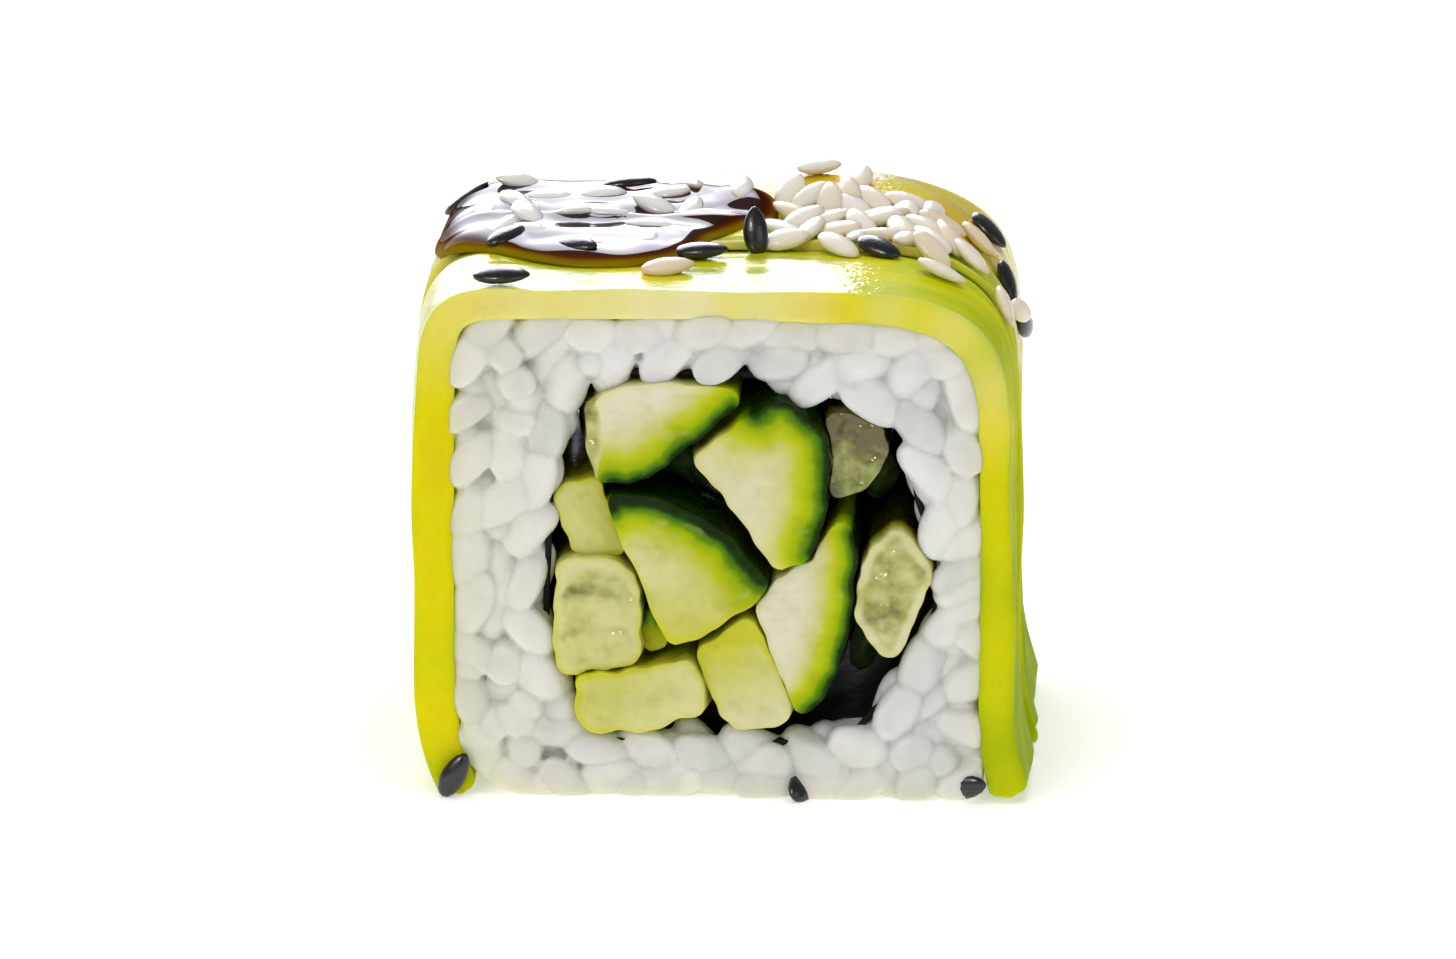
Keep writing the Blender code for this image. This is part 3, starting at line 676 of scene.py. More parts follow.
# Raw cucumber: watery cream flesh that turns lime and then nearly black green at its waxy skin. Cut
# faces let light in and look deep, seed jelly is clear and olive, and wet parts catch sharp glints.
# The cells that roughen a cut are drawn coarser than they are, so that they show.
def cucumberMaterial():
    return newMaterial("rawCucumber", {
        "wander": ("TexNoise", {"size": 1.67, "Detail": 3.0}, {"Vector": "place"}),
        "drift": ("Math", {"operation": "MULTIPLY_ADD", 1: 0.16, 2: -0.08}, {0: "wander"}),
        "depth": ("Math", {"operation": "MULTIPLY_ADD", 1: 0.2}, {0: "skin", 2: "drift"}),
        "rind": ("ValToRGB", {"stops": [
            (0.0, "152A02"), (0.045, "234602"), (0.08, "467203"), (0.15, "6E9603"), (0.22, "A2BA05"),
            (0.33, "BECA08"), (0.44, "CDD33E"), (0.56, "DBD98E"), (0.74, "E6E2BA"), (1.0, "E9E5CC")]}, {
            0: "depth"}),
        "grown": ("Mix", {"data_type": "RGBA", "blend_type": "MULTIPLY", 7: "E5E84A"}, {
            0: "green", 6: "rind"}),
        "streak": ("Mapping", {"size": (3.03, 8.33, 1.79)}, {"Vector": "place"}),
        "veins": ("TexNoise", {"Scale": 1.0, "Detail": 2.0}, {"Vector": "streak"}),
        "clear": ("Math", {"operation": "MULTIPLY_ADD", 1: 0.6}, {0: "jelly", 2: "veins"}),
        "patch": ("MapRange", {"From Min": 0.66, "From Max": 0.98}, {"Value": "clear"}),
        "clearer": ("Math", {"operation": "MULTIPLY_ADD", 1: -0.25}, {0: "jelly", 2: "wander"}),
        "gel": ("ValToRGB", {"stops": [
            (0.0, "6E6A3A"), (0.12, "8E8E4E"), (0.24, "B2B464"), (0.4, "CFCE8A")]}, {0: "clearer"}),
        "mixed": ("Mix", {"data_type": "RGBA"}, {0: "patch", 6: "grown", 7: "gel"}),
        # painted shade: a stick's sides are darkened away from its skin
        "flank": ("ValToRGB", {"stops": [(0.0, "FFFFFF"), (0.5, "BCC03C"), (1.0, "343A06")]}, {0: "side"}),
        "shaded": ("Mix", {"data_type": "RGBA", "blend_type": "MULTIPLY", 0: 1.0}, {6: "mixed", 7: "flank"}),
        "fibre": ("TexNoise", {"size": 0.556, "Detail": 3.0}, {"Vector": "place"}),
        "cells": ("ValToRGB", {"stops": [(0.3, "E9EAD2"), (0.5, "FAFAF2"), (0.7, "FFFFFF")]}, {0: "wander"}),
        "watery": ("Mix", {"data_type": "RGBA", "blend_type": "MULTIPLY", 0: 0.5}, {6: "shaded", 7: "cells"}),
        "rough": ("MapRange", {"To Min": 0.14, "To Max": 0.45}, {"Value": "fibre"}),
        "bump": ("Bump", {"Strength": 0.2, "Distance": 0.15 * mm}, {"Height": "fibre"}),
        "lumps": ("TexNoise", {"size": 1.18, "Detail": 0.6}, {"Vector": "place"}),
        "beads": ("Bump", {"Strength": 1.0, "Distance": 0.9 * mm}, {"Height": "lumps"}),
        "glow": ("MapRange", {"From Min": 0.1, "From Max": 0.4, "To Max": 0.4}, {"Value": "depth"}),
    }, {
        "Subsurface Radius": (1.0, 0.95, 0.35), "Subsurface Scale": 1.0 * mm, "IOR": 1.36,
        "Specular IOR Level": 0.12, "Coat Roughness": 0.03,
    }, {
        "Base Color": "watery", "Roughness": "rough", "Coat Weight": "wet", "Normal": "bump",
        "Coat Normal": "beads", "Subsurface Weight": "glow",
    })


# A CAD stick's front outline and its two ends' places along the roll.
def stickOutline(node):
    co = np.unique(np.round(pointsOf(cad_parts[node].data) / mm - offset, 3), axis=0)
    ring = co[co[:, 1] < co[:, 1].min() + 0.05][:, (0, 2)]
    spoke = ring - ring.mean(axis=0)
    ring = ring[np.argsort(np.arctan2(spoke[:, 1], spoke[:, 0]))]
    line = rounded(ring, cucumber["corner"], cucumber["outline"], True)
    far, size = cucumber["ragged"]
    push = cucumber["swell"] + far * ripple(line, size, int(abs(line[0, 0]) * 10))
    return line + push[:, None] * squareTo(line, 1.0), co[:, 1].min(), co[:, 1].max()


# A stick: its outline shrunk towards its middle makes the cut faces, and rolls over a small edge
# into sides that turn with the filling. Each point keeps its distance from the skin.
def stickMesh(node, plan, seed):
    line, low, high = stickOutline(node)
    middle = line.mean(axis=0)
    size = np.hypot(*(line - middle).T).mean()
    edge = cucumber["edge"]
    over, bend, along = cucumber["grid"]
    roll = np.linspace(0.0, np.pi / 2, bend)
    cap = (0.04 + (0.96 - edge / size) * np.linspace(0.0, 1.0, over + 1) ** 0.75)[:-1]
    shrink = np.concatenate([cap, 1.0 - edge / size * (1.0 - np.sin(roll))])
    back = np.concatenate([np.zeros(over), edge * (1.0 - np.cos(roll))])
    f = np.concatenate([shrink, np.ones(along), shrink[::-1]])
    body = np.linspace(low + edge, high - edge, along + 2)[1:-1]
    y = np.concatenate([low + back, body, high - back[::-1]])
    face = np.repeat([1.0, 0.0, 1.0], [over + bend, along, over + bend])
    flat = middle + f[:, None, None] * (line - middle)
    spoke = flat - middle
    (coarse, coarseSize), (fine, fineSize) = cucumber["relief"]
    relief = coarse * ripple(flat, coarseSize, seed) + fine * ripple(flat, fineSize, seed + 50)
    inwards = face * np.where(y > 0, -1.0, 1.0)
    yy = y[:, None] + inwards[:, None] * (spoke @ np.array(plan["lean"]) + relief)
    far, often = cucumber["wobble"]
    wobble = far * ripple(np.concatenate([flat, yy[..., None]], axis=-1), often, seed + 7)
    squeeze = cucumber["squeeze"] * (1.0 - face) * np.sin(np.pi * (y - low) / (high - low))
    spread = (spoke * (1.0 + (wobble + squeeze[:, None]) / size)[..., None]).transpose(2, 0, 1)
    x, z = turned(*(middle[:, None, None] + spread), twistAt(yy) - twistAt(low))
    return ringMesh(node + "_cut", np.stack([x, yy, z], axis=-1), stickLooks(plan, line, flat, face, seed))


# The named numbers of a stick's points, from their places in its outline before it turns.
def stickLooks(plan, line, flat, face, seed):
    middle = line.mean(axis=0)
    spoke = flat - middle
    skin = np.full(flat.shape[:2], 9.0)
    if plan["skin"]:
        angle = np.degrees(np.arctan2(line[:, 1] - middle[1], line[:, 0] - middle[0]))
        start, stop = plan["skin"]
        rind = line[(angle >= start) & (angle <= stop)]
        skin = np.maximum(lineDistance(flat, rind) - plan["rind"], 0.0) / plan["band"]
    away = lineDistance(flat, line)
    level, rightwards, upwards = plan["green"]
    more, within = cucumber["rimGreen"]
    green = level + spoke @ np.array([rightwards, upwards]) + more * ease(within, 0.0, away)
    jelly = plan["jelly"] - plan["rim"] * ease(*cucumber["rimJelly"], away)
    arch, wander, often = cucumber["sag"]
    for height, width, strength in plan["veils"]:
        sag = arch * spoke[..., 0] ** 2 + wander * ripple(flat, often, seed + 60)
        jelly = jelly + strength * np.exp(-((spoke[..., 1] + sag - height) / width) ** 2)
    extra, soft = cucumber["clearJelly"]
    jelly = jelly + extra * ease(plan["clear"] + soft, plan["clear"] - soft, spoke[..., 0])
    *wetSpan, leastWet = cucumber["wetJelly"]
    return {
        "skin": skin, "green": np.clip(green, 0.0, 1.0), "jelly": jelly,
        # painted shade on the sides, growing away from the skin
        "side": (1.0 - face)[:, None] * ease(*cucumber["sideShadeFrom"], skin) * plan["sideShade"],
        "wet": leastWet + (1.0 - leastWet) * ease(*wetSpan, jelly),
    }


def buildCucumber():
    material = cucumberMaterial()
    for seed, (node, plan) in enumerate(cucumber["sticks"].items(), 100):
        mesh = stickMesh(node, {**cucumber["plain"], **plan}, seed)
        newPiece(node + "_cut", mesh, material, [node])


buildCucumber()


avocado = {
    "frontRange": (-12.0, 0.4),  # y of the front slice's two cut edges
    "backRange": (-2.2, 12.0),  # the back slice laps over the front one
    "sunk": 0.45,  # how far the front slice's underside lies inside its inner line
    "rise": (0.22, -12.0, -7.0),  # how much the front slice rises, and between which y
    "frontThin": (0.5, -5.5, 0.0),  # share that it thins to at its back edge, and between which y
    "backThin": (0.4, -0.5, 4.5),  # the same for the back slice, at its front edge
    "stepDown": (0.8, 3.2),  # between which y the back slice's underside comes down off the front one
    "lapGap": (0.04, 0.05),  # how far that lies above the front slice, and inside the inner line
    "thickness": [  # share of the way from the left foot to the right one, thickness there
        (0.0, 1.9), (0.05, 2.4), (0.12, 2.15), (0.29, 2.15), (0.37, 1.5), (0.55, 1.4), (0.68, 1.7),
        (0.8, 1.45), (0.93, 1.7), (1.0, 2.2),
    ],
    "tone": [  # the same share, and how green rather than yellow the flesh is
        (0.0, 0.7), (0.03, 0.45), (0.1, 0.26), (0.28, 0.22), (0.36, 0.2), (0.5, 0.22), (0.62, 0.3),
        (0.7, 0.36), (0.85, 0.5), (1.0, 0.72),
    ],
    "rows": 480,  # sections from the left foot to the right one
    "section": (56, 22, 13),  # points over a section, under it and round each of its cut edges
    "rounding": 3.0,  # how widely the inner line's corners are rounded
    "edge": 0.3,  # how far a cut edge bulges
    "squared": 0.55,  # 1 makes the edge's section a half circle, and less squares it
    "wander": (0.16, 14.0),  # how far the cut edges wander, and how often
    "foot": 0.7,  # how far from their ends the feet round off
    "swell": [  # how uneven the outer surface is: height, length, and how the grain is drawn out
        (0.13, 13.0, (1.0, 1.0)), (0.05, 2.4, (0.25, 1.0)), (0.012, 0.7, (0.06, 1.0))],
    "gold": (0.62, 1.5, 6.0),  # how much yellower the top is towards the back, and between which y
    "goldTop": ((0.2, 0.36), (0.7, 0.9)),  # shares over which that starts and ends
    "goldLeast": (0.35, 0.25),  # share of it down the left side, and on a cut edge
    "outerGreen": 0.3,  # how much greener the outer surface is than a cut edge
    "rimGreen": 0.22,  # how much greener a cut edge is along its two rims
    "milky": (0.45, 0.07, 0.42),  # share where a cut edge is milkiest, its spread, and how milky the rest
    "milkyTop": ((0.27, 0.33), (0.7, 0.78)),  # shares over which the rest starts and ends
    "oilyTop": ((0.17, 0.26), (0.66, 0.8)),  # shares over which the oil film starts and ends
    "dryShoulder": (0.03, 0.12),  # the same at its front end, as shares past the middle of the top
    "mottle": [  # how unevenly green the flesh is: amount, length, and how it is drawn out
        (0.1, 3.0, (0.3, 1.0)), (0.08, 9.0, (1.0, 1.0))],
    "bulge": (1.9, 0.57, 0.07, 9.0, 5.0),  # height, share, spread, y, spread of the back slice's hump
}
rows = avocado["rows"]
drapeLine = rounded(slicePlan["drapeCorners"], avocado["rounding"], rows, False)
drapeLength = np.hypot(*np.diff(drapeLine, axis=0).T).mean() * (rows - 1)
drapeWay = unit(np.gradient(drapeLine, axis=0))
drapeOut = np.stack([-drapeWay[:, 1], drapeWay[:, 0]], axis=1)
drapeShare = np.linspace(0.0, 1.0, rows)
acrossTop = slice(150, 330)  # the rows over the top, where x only grows
topShare = np.interp(0.0, drapeLine[acrossTop, 0], drapeShare[acrossTop])


# A line of (share, value) stops read at any share, with its corners eased.
def readStops(stops, share):
    stops = np.array(stops)
    near = [np.interp(share + d, stops[:, 0], stops[:, 1]) for d in (-0.03, -0.015, 0.0, 0.015, 0.03)]
    return np.mean(near, axis=0)


# The front slice's underside, a little way into the rice.
def frontBase(share, y):
    return 0.0 * y - avocado["sunk"]


# The front slice's outer surface: it rises a little, then thins towards its back edge.
def frontHeight(share, y):
    (rise, *riseSpan), (least, *thinSpan) = avocado["rise"], avocado["frontThin"]
    thin = 1.0 - (1.0 - least) * ease(*thinSpan, y)
    return readStops(avocado["thickness"], share) * thin + rise * ease(*riseSpan, y)


# The back slice's underside: over the front slice, then down on the rice.
def backBase(share, y):
    above, inside = avocado["lapGap"]
    down = ease(*avocado["stepDown"], y)
    return (frontHeight(share, y) + above) * (1.0 - down) - inside * down


# The back slice's outer surface: thin at its front edge, with one hump.
def backHeight(share, y):
    high, atShare, wideShare, atY, wideY = avocado["bulge"]
    hump = high * np.exp(-((share - atShare) / wideShare) ** 2 - ((y - atY) / wideY) ** 2)
    least, *thinSpan = avocado["backThin"]
    thin = least + (1.0 - least) * ease(*thinSpan, y)
    return backBase(share, y) + readStops(avocado["thickness"], share) * thin + hump


# Points a height above the avocado's inner line, at a share along it and a place y along the roll.
def drapePoint(share, y, height):
    x, z = [
        np.interp(share, drapeShare, drapeLine[:, k]) + np.interp(share, drapeShare, drapeOut[:, k]) * height
        for k in (0, 1)]
    return np.stack([x, np.broadcast_to(y, x.shape), z], axis=-1)


# A section round the slice as (place across, reach past it, level, is it a cut edge): along its outer
# surface, round the back edge, back under it and round the front edge. An edge is a squared half
# circle.
def sliceSection():
    across, under, turn = avocado["section"]
    angle = np.linspace(np.pi / 2, -np.pi / 2, turn)
    bulge = np.abs(np.cos(angle)) ** avocado["squared"]
    level = 0.5 + 0.5 * np.sign(np.sin(angle)) * np.abs(np.sin(angle)) ** avocado["squared"]
    over, below = np.linspace(0.0, 1.0, across + 2)[1:-1], np.linspace(1.0, 0.0, under + 2)[1:-1]
    place = np.concatenate([over, np.full(turn, 1.0), below, np.full(turn, 0.0)])
    reach = np.concatenate([0 * over, bulge, 0 * below, -bulge])
    heights = np.concatenate([0 * over + 1, level, 0 * below, level[::-1]])
    return place, reach, heights, np.repeat([0.0, 1.0, 0.0, 1.0], [across, turn, under, turn])


# One slice: its section carried along the drape line. The feet round off to nothing, the cut edges
# wander a little, and fine ridges run the long way, as the knife and the fruit's fibres leave them.
def sliceMesh(name, yRange, inner, outer, seed):
    place, reach, level, cut = sliceSection()
    share = drapeShare[:, None]
    run = share * drapeLength
    far, often = avocado["wander"]
    edgeLow, edgeHigh = [
        y + far * ripple(np.hstack([run, 0 * run]), often, seed + k)[:, None]
        for k, y in enumerate((yRange[0] + avocado["edge"], yRange[1] - avocado["edge"]))]
    y = edgeLow + (edgeHigh - edgeLow) * place + avocado["edge"] * reach
    ground = np.stack([np.broadcast_to(run, y.shape), y], axis=-1)
    low, high = inner(share, y), outer(share, y)
    fromEnd = np.minimum(run, drapeLength - run)
    taper = 1.0 - (1.0 - np.minimum(fromEnd / avocado["foot"], 1.0)) ** 2
    thick = (high - low) * np.sqrt(np.clip(taper, 0.02, 1.0))
    swell = sum(
        amount * ripple(ground * stretch, length, seed + 2 + k)
        for k, (amount, length, stretch) in enumerate(avocado["swell"]))
    swell = swell * (0.25 + 0.75 * ease(0.0, 6.0, fromEnd))
    height = (low + high) / 2 + (level - 0.5) * thick + 2.0 * np.maximum(level - 0.5, 0.0) * swell
    points = drapePoint(np.broadcast_to(share, y.shape), y, height)
    points[..., 2] = -pressed(-points[..., 2], -0.04, 0.05)
    return ringMesh(name, points, sliceLooks(share, y, ground, level, cut, seed))


# How far a share has come past the left shoulder, and how far it is from passing the right one: each
# is 1 over the top and eases to 0 over its own span of shares.
def topEase(share, starts, ends):
    return ease(*starts, share), ease(*ends[::-1], share)


# The named numbers of a slice's points: how green its flesh is, how milky its cut edge over the top
# of the rice, and how oily its outer surface, which is oily over the top only.
def sliceLooks(share, y, ground, level, cut, seed):
    (gold, *goldSpan), (leftGold, cutGold) = avocado["gold"], avocado["goldLeast"]
    starts, ends = topEase(share, *avocado["goldTop"])
    gold = gold * ease(*goldSpan, y) * (ends * (leftGold + (1.0 - leftGold) * starts))
    tone = readStops(avocado["tone"], share) + avocado["outerGreen"] * (1.0 - cut)
    tone = tone - gold * (1.0 - (1.0 - cutGold) * cut)
    tone = tone + avocado["rimGreen"] * cut * (np.abs(level - 0.5) * 2.0) ** 3
    for k, (amount, length, stretch) in enumerate(avocado["mottle"]):
        tone = tone + amount * ripple(ground * stretch, length, seed + 5 + k)
    middle, spread, rest = avocado["milky"]
    starts, ends = topEase(share, *avocado["milkyTop"])
    milky = np.exp(-((share - middle) / spread) ** 2) + rest * starts * ends
    starts, ends = topEase(share, *avocado["oilyTop"])
    low, high = avocado["dryShoulder"]
    ends = np.where(y < 0.0, ease(topShare + high, topShare + low, share), ends)
    return {
        "tone": tone,
        "pale": cut * milky * (0.6 + 0.3 * ripple(ground * (1.0, 0.2), 4.0, seed + 8)),
        "oil": (1.0 - cut) * starts * ends,
    }


# Ripe avocado flesh: smooth, buttery and oily. It is golden near the stone and lime near the skin, it
# glows a little from within, and its oil film mirrors a lamp in a white sheen that breaks into grains.
# The flesh's fine grain is drawn a few times coarser than its cells, so that it shows.
def avocadoMaterial():
    return newMaterial("ripeAvocado", {
        "cloud": ("TexNoise", {"size": 2.63, "Detail": 4.0}, {"Vector": "place"}),
        "drift": ("Math", {"operation": "MULTIPLY_ADD", 1: 0.36, 2: -0.18}, {0: "cloud"}),
        "mixed": ("Math", {"operation": "ADD"}, {0: "tone", 1: "drift"}),
        "flesh": ("ValToRGB", {"stops": [
            (0.0, "DBBA1E"), (0.12, "E6D20C"), (0.28, "E9DC05"), (0.5, "D6D604"), (0.72, "BAC604"),
            (1.0, "93AD04")]}, {0: "mixed"}),
        "milky": ("Mix", {"data_type": "RGBA", 7: "F1EBB6"}, {0: "pale", 6: "flesh"}),
        "fine": ("TexNoise", {"size": 0.278, "Detail": 3.0}, {"Vector": "place"}),
        "sheen": ("MapRange", {"To Min": 0.5, "To Max": 0.75}, {"Value": "cloud"}),
        "grain": ("ValToRGB", {"stops": [(0.3, "EDE9C8"), (0.5, "FCFCF8"), (0.7, "FFFFFF")]}, {0: "fine"}),
        "buttery": ("Mix", {"data_type": "RGBA", "blend_type": "MULTIPLY", 0: 0.2}, {6: "milky", 7: "grain"}),
        "bump": ("Bump", {"Strength": 0.3, "Distance": 0.14 * mm}, {"Height": "fine"}),
        "broken": ("Math", {"operation": "MULTIPLY_ADD", 1: 1.3}, {0: "fine", 2: "oil"}),
        "film": ("MapRange", {"From Min": 0.85, "From Max": 1.0}, {"Value": "broken"}),
    }, {
        "Subsurface Weight": 0.4, "Subsurface Radius": (1.0, 0.9, 0.05), "Subsurface Scale": 1.0 * mm,
        "IOR": 1.46, "Specular IOR Level": 0.08, "Coat Roughness": 0.14, "Coat IOR": 1.47,
    }, {
        "Base Color": "buttery", "Roughness": "sheen", "Coat Weight": "film", "Normal": "bump",
        "Coat Normal": "bump",
    })


def buildAvocado():
    material = avocadoMaterial()
    for name, node, yRange, inner, outer, seed in (
            ("avocadoFront", "avocado_front", avocado["frontRange"], frontBase, frontHeight, 31),
            ("avocadoBack", "avocado_back", avocado["backRange"], backBase, backHeight, 47)):
        newPiece(name, sliceMesh(name, yRange, inner, outer, seed), material, [node])


buildAvocado()


sauce = {
    "outline": [  # the pool's edge: millimetres along the drape from the middle of the top, and y
        (-17.0, 0.6), (-16.6, -2.5), (-14.9, -5.0), (-12.0, -6.6), (-9.6, -7.7), (-7.5, -8.0), (-5.2, -7.6),
        (-3.0, -6.4), (-1.5, -4.2), (-0.6, -1.5), (0.5, 0.2), (2.4, 1.2), (3.4, 3.2), (3.2, 5.2), (1.5, 7.0),
        (-1.2, 8.2), (-4.0, 9.8), (-9.0, 10.9), (-14.8, 10.4), (-16.8, 8.5), (-17.4, 4.5),
    ],
    "rounding": 1.6,
    "grid": (45, 10, 360),  # rings over the top, rings underneath, and points round
    "depth": 0.75,
    "shoulder": 2.0,  # how far in from its edge the pool reaches its full depth
    "uneven": (0.05, 9.0),  # share by which its depth wanders, and how often
    "climb": (0.17, 2.2, 1.35),  # how high the glaze climbs a seed, and its reach along and across it
    "lapEase": (2.6, 1.2, 0.3),  # how widely its top, the seeds and its underside step over the lap
    "stand": (0.02, 0.1),  # how far its top stays above the avocado, and its underside below it
    "bareRim": (0.25, 0.05, -8.0, 0.7),  # how wide the rim without shine is, how fast it widens behind
    # which y, and how softly it ends
}
sauceLine = rounded(sauce["outline"], sauce["rounding"], sauce["grid"][2], True)


# How deep the sauce stands at places on the drape, and how far they lie from its edge: a round
# shoulder at the edge, then nearly level.
def sauceDepth(ground):
    away = lineDistance(ground, sauceLine)
    rise = np.sqrt(np.clip(1.0 - (1.0 - np.minimum(away / sauce["shoulder"], 1.0)) ** 2, 0.0, 1.0))
    share, often = sauce["uneven"]
    return sauce["depth"] * rise * (1.0 + share * ripple(ground, often, 61)), away


# Whether places on the drape lie inside the sauce's outline, by counting crossings of its edge.
def insideSauce(spot):
    a, b = sauceLine, np.roll(sauceLine, -1, axis=0)
    x, y = spot[:, :1], spot[:, 1:]
    spans = (a[:, 1] > y) != (b[:, 1] > y)
    rise = np.where(b[:, 1] == a[:, 1], 1e-9, b[:, 1] - a[:, 1])
    return ((x < a[:, 0] + (y - a[:, 1]) / rise * (b[:, 0] - a[:, 0])) & spans).sum(axis=1) % 2 == 1


# How far the glaze climbs the seeds that stand in it: climb exp(-r^3), where r is the distance from a
# seed's middle in units of an oval a little wider than the seed.
def sauceClimb(ground, seeds):
    high, reach, wide = sauce["climb"]
    climb = np.zeros(ground.shape[:-1])
    for x, y, heading, _ in seeds:
        turn = math.radians(heading)
        dx, dy = ground[..., 0] - x, ground[..., 1] - y
        along = (dx * math.cos(turn) + dy * math.sin(turn)) / reach
        across = (dy * math.cos(turn) - dx * math.sin(turn)) / wide
        climb = np.maximum(climb, high * np.exp(-np.hypot(along, across) ** 3))
    return climb


# The avocado's outer surface under the sauce and seeds; soft says how widely the lap's step is eased.
def toppingHeight(share, y, soft):
    start = avocado["backRange"][0]
    step = ease(start - soft, start + 0.3 * soft, y)
    return frontHeight(share, y) * (1.0 - step) + backHeight(share, y) * step


# Sweet thick soy glaze: nearly black brown where it is deep and amber at its thin rim, with a film
# so smooth that it mirrors the lamps with sharp edges.
def sauceMaterial():
    return newMaterial("sweetSoyGlaze", {
        "swirl": ("TexNoise", {"size": 3.33, "Detail": 3.0}, {"Vector": "place"}),
        "drift": ("Math", {"operation": "MULTIPLY_ADD", 1: 0.24, 2: -0.12}, {0: "swirl"}),
        "level": ("Math", {"operation": "ADD"}, {0: "deep", 1: "drift"}),
        "glaze": ("ValToRGB", {"stops": [
            (0.0, "8A7608"), (0.15, "7A5504"), (0.32, "5A2C02"), (0.6, "3E1802"), (1.0, "2C0E02")]}, {
            0: "level"}),
        "smooth": ("MapRange", {"To Min": 0.05, "To Max": 0.1}, {"Value": "swirl"}),
        "wet": ("MapRange", {"To Min": 0.12}, {"Value": "film"}),
    }, {"IOR": 1.4, "Specular IOR Level": 0.0, "Coat Roughness": 0.03, "Coat IOR": 1.45}, {
        "Base Color": "glaze", "Roughness": "smooth", "Coat Weight": "wet"})


# The pool: rings from its middle out to its edge, first over the top and then back underneath. Its
# film is bare of shine at the edge, and more widely so towards the back.
def buildSauce(seeds):
    over, under, _ = sauce["grid"]
    middle = sauceLine.mean(axis=0)
    out = 1.0 - (1.0 - np.linspace(0.0, 1.0, over + 1)[1:]) ** 1.6
    rings = np.concatenate([out, np.linspace(1.0, 0.0, under + 2)[1:-1]])
    ground = middle + rings[:, None, None] * (sauceLine - middle)
    share, y = topShare + ground[..., 0] / drapeLength, ground[..., 1]
    depth, away = sauceDepth(ground)
    depth = depth + sauceClimb(ground, seeds) * ease(0.0, 1.0, away)
    upperEase, _, lowerEase = sauce["lapEase"]
    upper = np.arange(over + under)[:, None] < over
    above, below = sauce["stand"]
    height = np.where(
        upper, toppingHeight(share, y, upperEase) + depth + above, toppingHeight(share, y, lowerEase) - below)
    wide, widening, widensFrom, soft = sauce["bareRim"]
    bare = wide + widening * np.maximum(y - widensFrom, 0.0)
    mesh = ringMesh("saucePool", drapePoint(share, y, height), {
        "deep": ease(0.0, 1.3, away), "film": ease(bare, bare + soft, away)})
    newPiece("saucePool", mesh, sauceMaterial(), ["sauce"])


sesame = {
    "size": (3.4, 1.75, 0.95),
    "grid": (7, 12),  # rings along a seed, and points round it
    "blackPlaced": [  # along the drape, y, heading in degrees, how far its tip stands up in degrees
        (-16.0, 8.2, 5, 0), (-13.6, -3.6, 50, 12), (-9.2, -5.4, -35, 6), (-13.6, -10.3, -3, 3),
        (-6.6, 8.8, 8, 4), (-1.3, -5.2, -6, 6), (2.1, -2.6, 94, 50), (9.9, -3.4, -28, -12),
        (17.3, 3.5, -40, 5), (20.6, 6.5, 60, 8), (15.6, 7.6, -25, 3),
    ],
    "whitePlaced": [
        (4.0, -2.4, 10, 8), (5.4, -0.8, 70, 15), (7.4, -3.3, -40, -14), (6.6, 1.2, 25, 12),
        (8.6, 0.4, 120, 14), (13.4, -6.4, -10, -4), (12.8, -2.6, -34, -12), (14.8, -0.8, -40, -8),
        (9.8, 3.2, 15, 10), (12.8, 2.6, 95, 8), (4.4, 2.6, 150, 16), (5.2, 4.8, 40, 12),
        (7.6, 5.4, 100, 10), (-3.2, -8.4, 15, 3), (17.0, -3.6, -50, -10), (18.3, 0.8, 60, 8),
        (5.6, 8.8, 20, 0), (8.2, 7.6, 80, 0), (15.2, 4.6, -30, 0),
    ],
    "fallen": [  # x, y, z of a black one that stuck to the cut face, and its tip's direction
        (-16.7, -12.4, 1.5, (0.45, 0.0, 0.85)), (5.6, -11.2, 0.9, (0.35, 0.8, 0.3)),
        (15.9, -11.6, 0.95, (0.9, -0.35, 0.25)),
    ],
    "whiteHeap": (22, (3.6, 13.6), (-1.5, 6.0)),  # how many more lie by chance, and where
    "whiteGlazed": (19, (-15.5, 1.5), (-4.0, 9.0)),  # those sunk in the sauce
    "apart": 1.25,  # least distance between two seeds' middles
    "tips": (4.0, 7.0),  # how many degrees those by chance stand their tips up: mean and spread
    "uneven": (0.88, 1.1),  # how much smaller or larger than its size a seed may be
    "seed": 8,
}


# A seed is a flat drop: along its length t from -1 to 1 its width is (1 + t)^0.5 (1 - t)^0.62, so
# one end is round and the other comes to a point. It swells less above and below than sideways.
def seedBall():
    rings, around = sesame["grid"]
    t = -np.cos(np.linspace(0.0, np.pi, rings + 2))[1:-1, None]
    width = (1.0 + t) ** 0.5 * (1.0 - t) ** 0.62
    width /= width.max()
    u = np.linspace(0.0, 2.0 * np.pi, around, endpoint=False)
    body = np.stack([np.broadcast_to(t, (rings, around)), width * np.cos(u), width * np.sin(u)], axis=-1)
    return np.concatenate([body.reshape(-1, 3), [[-1.0, 0.0, 0.0], [1.0, 0.0, 0.0]]])


# Points on top of the avocado or, inside the sauce's outline, on top of the sauce.
def toppingPoint(spot):
    share = topShare + spot[:, 0] / drapeLength
    depth = np.where(insideSauce(spot), sauceDepth(spot)[0], 0.0)
    return drapePoint(share, spot[:, 1], toppingHeight(share, spot[:, 1], sauce["lapEase"][1]) + depth)


